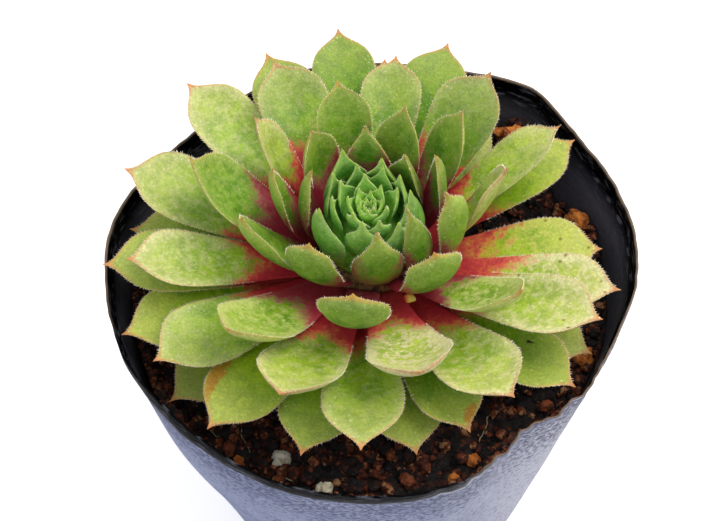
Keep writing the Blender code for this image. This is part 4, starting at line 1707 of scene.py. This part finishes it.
@dataclass
class SoilBed:
    """The potting mix: its crumbly surface, loose crumbs, mineral grains and rootlets.

    Attributes:
        rings: Steps of the surface from its middle to the wall.
        sides: Steps of the surface round the pot.
        inner: Radius of its hidden flat middle, under the stem.
        depth: How far down its hidden side goes.
        crumbs: How many crumbs lie loose on it.
        crumb_radii: The sizes of the crumbs, in mm, of which each is as common as the next.
        crumb_tones: For each kind of crumb, its share, and the lowest and highest tone.
        banks: Where crumbs are heaped against the wall: azimuth, half width, height in mm, and how many.
        film_gap: How far inside the pot's round wall everything stays.
        named_grains: The large grains that the part has: node, grain and slot.
        grains: The other large grains.
        root_starts: Where the rootlets start: azimuth in degrees, distance and length in mm.
        root_reach: How far from the axis they may go.
    """

    rings: int = 84
    sides: int = 440
    inner: float = 6 * MM
    depth: float = 6 * MM
    crumbs: int = 4000
    crumb_radii: tuple[float, ...] = (0.2, 0.25, 0.3, 0.35, 0.4, 0.45, 0.6, 0.8, 1.1)
    crumb_tones: tuple[tuple[float, ...], ...] = (
        (0.4, 0.05, 0.45), (0.38, 0.5, 0.75), (0.17, 0.75, 0.9), (0.05, 0.92, 1.0),
    )
    banks: tuple[tuple[float, float, float, int], ...] = (
        (49, 9, 9.0, 240), (17, 10, 5.0, 160), (186, 18, 5.0, 320), (212, 15, 5.5, 360), (232, 10, 4.0, 160),
        (306, 20, 9.0, 620), (275, 12, 2.5, 100),
    )
    film_gap: float = 0.85 * MM
    named_grains: tuple[tuple[str, Grain, str], ...] = (
        ("grain_clay_brown", Grain(13, 39.2, 2.6, "brick"), "clay_grain"),
        ("grain_clay_orange", Grain(22, 38.2, 2.0, "clay"), "clay_grain"),
        ("grain_pumice", Grain(242, 35.2, 1.65, "pumice"), "pumice_grain"),
    )
    grains: tuple[Grain, ...] = (
        Grain(20, 40.6, 2.2, "clay", lift=3.4),
        Grain(14.5, 40.2, 2.4, "brick", lift=1.2),
        Grain(49, 42.4, 1.9, "clay", lift=7.0),
        Grain(45, 42.0, 1.5, "clay", lift=7.2),
        Grain(53, 42.4, 1.4, "clay", lift=6.0),
        Grain(340, 38.6, 1.8, "clay"),
        Grain(296, 36.0, 1.0, "clay"),
        Grain(289, 37.5, 0.9, "clay"),
        Grain(277, 36.0, 1.3, "brick"),
        Grain(322, 36.5, 1.2, "brick"),
        Grain(256, 38.0, 1.5, "pumice"),
        Grain(229, 38.5, 1.2, "brick"),
        Grain(233, 39.0, 1.0, "clay"),
        Grain(52, 42.0, 2.4, "clay"),
        Grain(60, 40.0, 2.0, "clay"),
        Grain(205, 40.5, 1.6, "brick"),
        Grain(190, 41.0, 1.5, "brick"),
    )
    root_starts: tuple[tuple[float, float, float], ...] = (
        (226, 36, 8), (234, 37, 6), (249, 38, 7), (300, 34, 7), (8, 34, 9),
    )
    root_reach: float = 38 * MM

    def build(self) -> None:
        """Builds the soil and all that lies on it."""
        peat = Peat().material()
        stock = MeshStock()
        self.surface(stock)
        stock.piece("peat_bed", [peat], "soil", ["soil"])
        dice = random.Random("crumbs")
        self.loose_crumbs(dice).piece("peat_crumbs", [peat], "soil", crease=24)
        self.heaps(dice).piece("peat_heaps", [peat], "soil", crease=24)
        grits = {
            "clay": Grit("burnt_clay", "#9a4d1a", "#d98436").material(),
            "brick": Grit("brick_brown_clay", "#4a2112", "#8d4726").material(),
            "pumice": Grit("pumice", "#dccfaa", "#fdf8e6").material(),
        }
        for node, grain, slot in self.named_grains:
            lump = MeshStock()
            self.lump(lump, grain, random.Random(node), 4)
            lump.piece(f"lump_{node}", [grits[grain.finish]], slot, [node])
        for kind, material in grits.items():
            loose = MeshStock()
            for i, grain in enumerate(g for g in self.grains if g.finish == kind):
                self.lump(loose, grain, random.Random(f"{kind}{i}"), 3)
            slot = "pumice_grain" if kind == "pumice" else "clay_grain"
            loose.piece(f"loose_{kind}", [material], slot)
        self.rootlets()
        self.sliver(peat)

    @staticmethod
    def sliver(peat: Material) -> None:
        """Adds a sliver of peat that lies on a leaf at the front right.

        Args:
            peat: The finish of the potting mix.
        """
        stock = MeshStock()
        along, across = np.array([0.68, 0.74]), np.array([0.4, 0.5])
        sheet = FleshyLeaf.grown(58).surface(along, across, UPPER_SHARE)
        way = sheet[1:, 1] - sheet[:1, 0]
        points, faces = bristles(sheet[:1, 0], way, np.array([1.4 * MM]), 0.3 * MM)
        stock.add(points, faces, tone=0.05)
        stock.piece("peat_sliver", [peat], "soil")

    def surface(self, stock: MeshStock) -> None:
        """Adds the top of the bed, lumpy with crumbs of two sizes, and the hidden side below it.

        Args:
            stock: The piece that the bed goes into.
        """
        azimuth = np.linspace(0, 2 * math.pi, self.sides, endpoint=False)
        outer = wall_radius(SOIL_EDGE) + squash(azimuth, SOIL_EDGE) - 0.45 * MM
        rows, tones = [], []
        for t in np.linspace(0, 1, self.rings):
            radius = self.inner + (outer - self.inner) * t
            ring = np.stack([radius * np.cos(azimuth), radius * np.sin(azimuth), 0 * azimuth], axis=1)
            tone = np.zeros(self.sides)
            for k in range(self.sides):
                ring[k, 2], tone[k] = self.crumb_height(ring[k, 0], ring[k, 1])
            rows.append(ring)
            tones.append(tone)
        below = rows[-1].copy()
        below[:, 2] -= self.depth
        below[:, :2] *= (wall_radius(SOIL_EDGE - self.depth) - 0.5 * MM) / wall_radius(SOIL_EDGE)
        rows.append(below)
        tones.append(tones[-1])
        count = self.sides
        last = (len(rows) - 1) * count
        faces = tube_faces(len(rows), count, down=True)
        faces += [list(range(count)), [last + k for k in reversed(range(count))]]
        stock.add(np.concatenate(rows), faces, tone=np.concatenate(tones))

    @staticmethod
    def crumb_height(x: float, y: float) -> tuple[float, float]:
        """Height of the lumpy soil and the tone of the crumb at a place.

        Args:
            x: To the right of the pot's axis.
            y: Behind it.

        Returns:
            The height above the ground, and the tone.
        """
        height, tone = soil_level(x, y) - 0.5 * MM, 0.3
        # The crumbs of each size: how far apart, how tall, and where their pattern starts
        for size, tall, shift in ((2.8 * MM, 1.0 * MM, 0.0), (1.2 * MM, 0.45 * MM, 9.0)):
            at = Vector((x / size + shift, y / size, 0.0))
            distances, cells = noise.voronoi(at)
            height += tall * math.sqrt(max(0.0, 1 - (distances[0] / 0.62) ** 2))
            tone += 0.28 * noise.cell(cells[0] * 7.3)
        return height, tone + 0.1 * noise.noise(Vector((x, y, 0)) / (9 * MM))

    def loose_crumbs(self, dice: random.Random) -> MeshStock:
        """Scatters angular crumbs over the bed: most of them dark, many red-brown, and a few tan.

        Args:
            dice: Where the crumbs' places and shapes come from.

        Returns:
            The crumbs.
        """
        stock = MeshStock()
        kinds = [kind[0] for kind in self.crumb_tones]
        for _ in range(self.crumbs):
            azimuth = dice.uniform(0, 360)
            distance = math.sqrt(dice.uniform(16**2, 42.5**2))
            radius = dice.choice(self.crumb_radii)
            _, low, high = dice.choices(self.crumb_tones, kinds)[0]
            wall = wall_radius(SOIL_EDGE) + float(squash(math.radians(azimuth), SOIL_EDGE))
            limit = wall / MM - 1.0 - radius
            grain = Grain(azimuth, min(distance, limit), radius, "peat", dice.uniform(0.1, 0.6))
            self.lump(stock, grain, dice, 1 if radius < 0.5 else 2, tone=dice.uniform(low, high))
        return stock

    def heaps(self, dice: random.Random) -> MeshStock:
        """Heaps crumbs against the wall.

        Args:
            dice: Where the crumbs' places and shapes come from.

        Returns:
            The crumbs.
        """
        stock = MeshStock()
        for centre, half_width, height, count in self.banks:
            for _ in range(count):
                away = dice.gauss(0, 0.55)
                azimuth = centre + half_width * away
                lift = dice.uniform(0, 1) * height * math.exp(-(away**2))
                level = SOIL_EDGE + lift * MM
                radius = dice.uniform(0.3, 0.9)
                wall = (wall_radius(level) + float(squash(math.radians(azimuth), level))) / MM
                distance = wall - 0.55 - 0.8 * radius - dice.uniform(0, 0.6)
                grain = Grain(azimuth, distance, radius, "peat", 0.3, lift)
                self.lump(stock, grain, dice, 1 if radius < 0.5 else 2, tone=dice.uniform(0.3, 0.92))
        return stock

    def lump(self, stock: MeshStock, grain: Grain, dice: random.Random, steps: int, **numbers: float) -> None:
        """Adds one angular lump, sunk a little into the soil.

        Args:
            stock: The piece that the lump goes into.
            grain: Its place and size.
            dice: Where its shape comes from.
            steps: How finely its ball is divided.
            **numbers: Named numbers for its vertices.
        """
        ball = bmesh.new()
        bmesh.ops.create_icosphere(ball, subdivisions=steps, radius=1.0)
        shape = Vector((dice.uniform(0.8, 1.25), dice.uniform(0.75, 1.1), dice.uniform(0.65, 0.9)))
        turn = Matrix.Rotation(dice.uniform(0, 6.3), 3, "Z")
        turn = turn @ Matrix.Rotation(dice.uniform(-0.5, 0.5), 3, "X")
        seed = Vector((dice.uniform(0, 50), 0, 0))
        angle = math.radians(grain.azimuth)
        x, y = grain.distance * MM * math.cos(angle), grain.distance * MM * math.sin(angle)
        radius = grain.radius * MM
        rest = Vector((x, y, soil_level(x, y) + radius * (0.8 - grain.sink) + grain.lift * MM))
        points = []
        for vertex in ball.verts:
            way = vertex.co.normalized()
            bumps = 0.42 * noise.noise(way * 1.4 + seed) + 0.25 * noise.noise(way * 3.3 + seed)
            if steps > 2:
                bumps += 0.07 * noise.noise(way * 8 + seed)
            local = Vector(a * b for a, b in zip(way * (1 + bumps), shape))
            points.append(rest + turn @ (local * radius))
        faces = [[v.index for v in face.verts] for face in ball.faces]
        ball.free()
        cloud = np.array(points)
        # Nothing pokes through the film: what would is pressed flat against it
        turns, away = np.arctan2(cloud[:, 1], cloud[:, 0]), np.hypot(cloud[:, 0], cloud[:, 1])
        inside = wall_radius(cloud[:, 2]) + squash(turns, cloud[:, 2]) - self.film_gap
        cloud[:, :2] *= np.minimum(inside / np.maximum(away, 1 * MM), 1.0)[:, None]
        stock.add(cloud, faces, **numbers)

    def rootlets(self) -> None:
        """Adds a few thin pale roots that lie on the soil at the front left and at the right."""
        dice = random.Random("rootlets")
        stock = MeshStock()
        steps = 14
        for azimuth, distance, length in self.root_starts:
            angle = math.radians(azimuth)
            at = Vector((distance * math.cos(angle), distance * math.sin(angle), 0)) * MM
            heading = dice.uniform(0, 2 * math.pi)
            path = []
            for _ in range(steps):
                heading += dice.uniform(-0.5, 0.5)
                at = at + Vector((math.cos(heading), math.sin(heading), 0)) * length * MM / steps
                at *= min(1.0, self.root_reach / at.length)
                path.append(Vector((at.x, at.y, soil_level(at.x, at.y) + 0.35 * MM)))
            self.thread(stock, path)
        stock.piece("rootlets", [RootBark("pale_rootlets", "#7d6a50", "#c3b392").material()], "stem")

    @staticmethod
    def thread(stock: MeshStock, path: Sequence[Vector], radius: float = 0.11 * MM, sides: int = 5) -> None:
        """Adds one root as a thin tube.

        Args:
            stock: The piece that the root goes into.
            path: The points that it runs through.
            radius: Its radius.
            sides: Steps round it.
        """
        points = []
        for i, place in enumerate(path):
            ahead = (path[min(i + 1, len(path) - 1)] - path[max(i - 1, 0)]).normalized()
            side = ahead.cross(Vector((0, 0, 1))).normalized()
            up = side.cross(ahead)
            for k in range(sides):
                turn = 2 * math.pi * k / sides
                points.append(place + (side * math.cos(turn) + up * math.sin(turn)) * radius)
        stock.add(np.array(points), tube_faces(len(path), sides))


@dataclass
class Studio:
    """White paper, soft light from above and the camera.

    Attributes:
        target: What the camera looks at.
        distance: How far the camera is from it.
        elevation: How far above the level it looks from, in degrees.
        roll: How far it is turned about its own line of sight.
        lens: Its focal length in mm.
        sensor: The width of its sensor in mm.
        sky: Strength of the sky as light on the plant.
        paper_half: Half the width of the paper.
    """

    target: Vector = field(default_factory=lambda: Vector((-2.2, 2.5, 71)) * MM)
    distance: float = 240 * MM
    elevation: float = math.radians(54.5)
    roll: float = -0.03
    lens: float = 68.0
    sensor: float = 36.0
    sky: float = 0.69
    paper_half: float = 2.5

    def build(self) -> None:
        """Makes the paper, the world, the lamps and the camera."""
        self.paper()
        self.world()
        self.lamp("key_softbox", (0.34, 0.12, 0.6), 0.45, 2.95, "#fffaf2")
        self.lamp("fill_softbox", (-0.45, -0.35, 0.5), 0.5, 0.9, "#eef2ff")
        self.camera()

    def paper(self) -> None:
        """Lays the ground that the pot stands on."""
        mesh = bpy.data.meshes.new("paper_sweep")
        half, level = self.paper_half, -0.05 * MM
        corners = [(-half, -half, level), (half, -half, level), (half, half, level), (-half, half, level)]
        mesh.from_pydata(corners, [], [(0, 1, 2, 3)])
        mesh.materials.append(PaperSweep().material())
        sheet = bpy.data.objects.new("paper_sweep", mesh)
        bpy.context.scene.collection.objects.link(sheet)

    def world(self) -> None:
        """A plain sky: white where the camera or a gloss sees it, and dimmer as light on the plant."""
        world = bpy.data.worlds.new("plain_sky")
        bpy.context.scene.world = world
        world.use_nodes = True
        draft = Draft(world, world.node_tree.nodes["Background"])
        ray = draft.add("LightPath")
        seen = ray.outputs["Is Camera Ray"]
        for kind in ("Is Glossy Ray", "Is Transmission Ray"):
            seen = draft.add("Math", {0: seen, 1: ray.outputs[kind]}, operation="MAXIMUM")
        strength = draft.add("MapRange", {0: seen, 3: self.sky, 4: 1.0})
        draft.feed({"Color": "#ffffff", "Strength": strength})

    def lamp(
        self, name: str, place: tuple[float, float, float], size: float, power: float, colour: str
    ) -> None:
        """Adds a square soft lamp that faces the plant.

        Args:
            name: The lamp's name.
            place: Where it hangs.
            size: The side of its square.
            power: Its power in watts.
            colour: The colour of its light.
        """
        data = bpy.data.lights.new(name, "AREA")
        data.size, data.energy, data.color = size, power, linear(colour)[:3]
        made = bpy.data.objects.new(name, data)
        made.location = place
        way = self.target - Vector(place)
        made.rotation_euler = way.to_track_quat("-Z", "Y").to_euler()
        bpy.context.scene.collection.objects.link(made)

    def camera(self) -> None:
        """Makes the camera."""
        data = bpy.data.cameras.new("camera")
        data.lens, data.sensor_width, data.clip_start = self.lens, self.sensor, 10 * MM
        back = Vector((0, -math.cos(self.elevation), math.sin(self.elevation)))
        right, up = Vector((1, 0, 0)), Vector((0, math.sin(self.elevation), math.cos(self.elevation)))
        turned_right = right * math.cos(self.roll) + up * math.sin(self.roll)
        turned_up = up * math.cos(self.roll) - right * math.sin(self.roll)
        columns = Matrix((turned_right, turned_up, back)).transposed().to_4x4()
        made = bpy.data.objects.new("camera", data)
        made.matrix_world = Matrix.Translation(self.target + back * self.distance) @ columns
        bpy.context.scene.collection.objects.link(made)
        bpy.context.scene.camera = made


@dataclass(frozen=True)
class SideBud:
    """A side shoot no bigger than a grain of rice: a bright point between two leaves at the front.

    Attributes:
        place: Where it stands, in the part's frame.
        heading: The direction that it points in, in degrees.
        length: Its length.
        half_width: Half its width.
        rings: Steps along it.
        sides: Steps round it.
    """

    place: Vector = field(default_factory=lambda: Vector((6.0, -9.3, 76.2)) * MM)
    heading: float = 330.0
    length: float = 2.4 * MM
    half_width: float = 0.8 * MM
    rings: int = 14
    sides: int = 18

    def build(self) -> None:
        """Builds the shoot as an egg of young scales, three round its girth."""
        turn = math.radians(self.heading)
        ahead = Vector((math.cos(turn), math.sin(turn), 0.25)).normalized()
        side = Vector((-math.sin(turn), math.cos(turn), 0))
        up = ahead.cross(side)
        points, shares = [self.place - ahead * self.length / 2], [0.0]
        for i in range(1, self.rings):
            share = i / self.rings
            middle = self.place + ahead * self.length * (share - 0.5)
            for k in range(self.sides):
                angle = 2 * math.pi * k / self.sides
                scale = 1 + 0.16 * math.cos(3 * angle + 5 * share)
                radius = self.half_width * math.sin(math.pi * share**0.85) ** 0.7 * scale
                points.append(middle + (side * math.cos(angle) + up * math.sin(angle)) * radius)
                shares.append(share)
        points.append(self.place + ahead * self.length / 2)
        shares.append(1.0)
        last = len(points) - 1
        faces: list[Sequence[int]] = []
        for k in range(self.sides):
            n = (k + 1) % self.sides
            faces.append((0, 1 + k, 1 + n))
            faces.append((last, last - self.sides + n, last - self.sides + k))
        faces += tube_faces(self.rings - 1, self.sides, first=1, down=True)
        stock = MeshStock()
        stock.add(np.array(points), faces, along=np.array(shares))
        stock.piece("side_shoot", [ShootSkin().material()], "bud")


def dress_stem() -> None:
    """Gives the stem that the part already has its corky bark."""
    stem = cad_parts["stem"]
    stem.data.materials.clear()
    stem.data.materials.append(RootBark().material())


def main() -> None:
    """Builds every piece in order."""
    logging.basicConfig(level=logging.INFO, format="%(name)s %(message)s")
    bpy.context.scene.view_settings.view_transform = "Standard"
    Rosette().build()
    SoftPot().build()
    SoilBed().build()
    dress_stem()
    SideBud().build()
    Studio().build()
    bpy.context.view_layer.update()


if __name__ == "__main__":
    main()
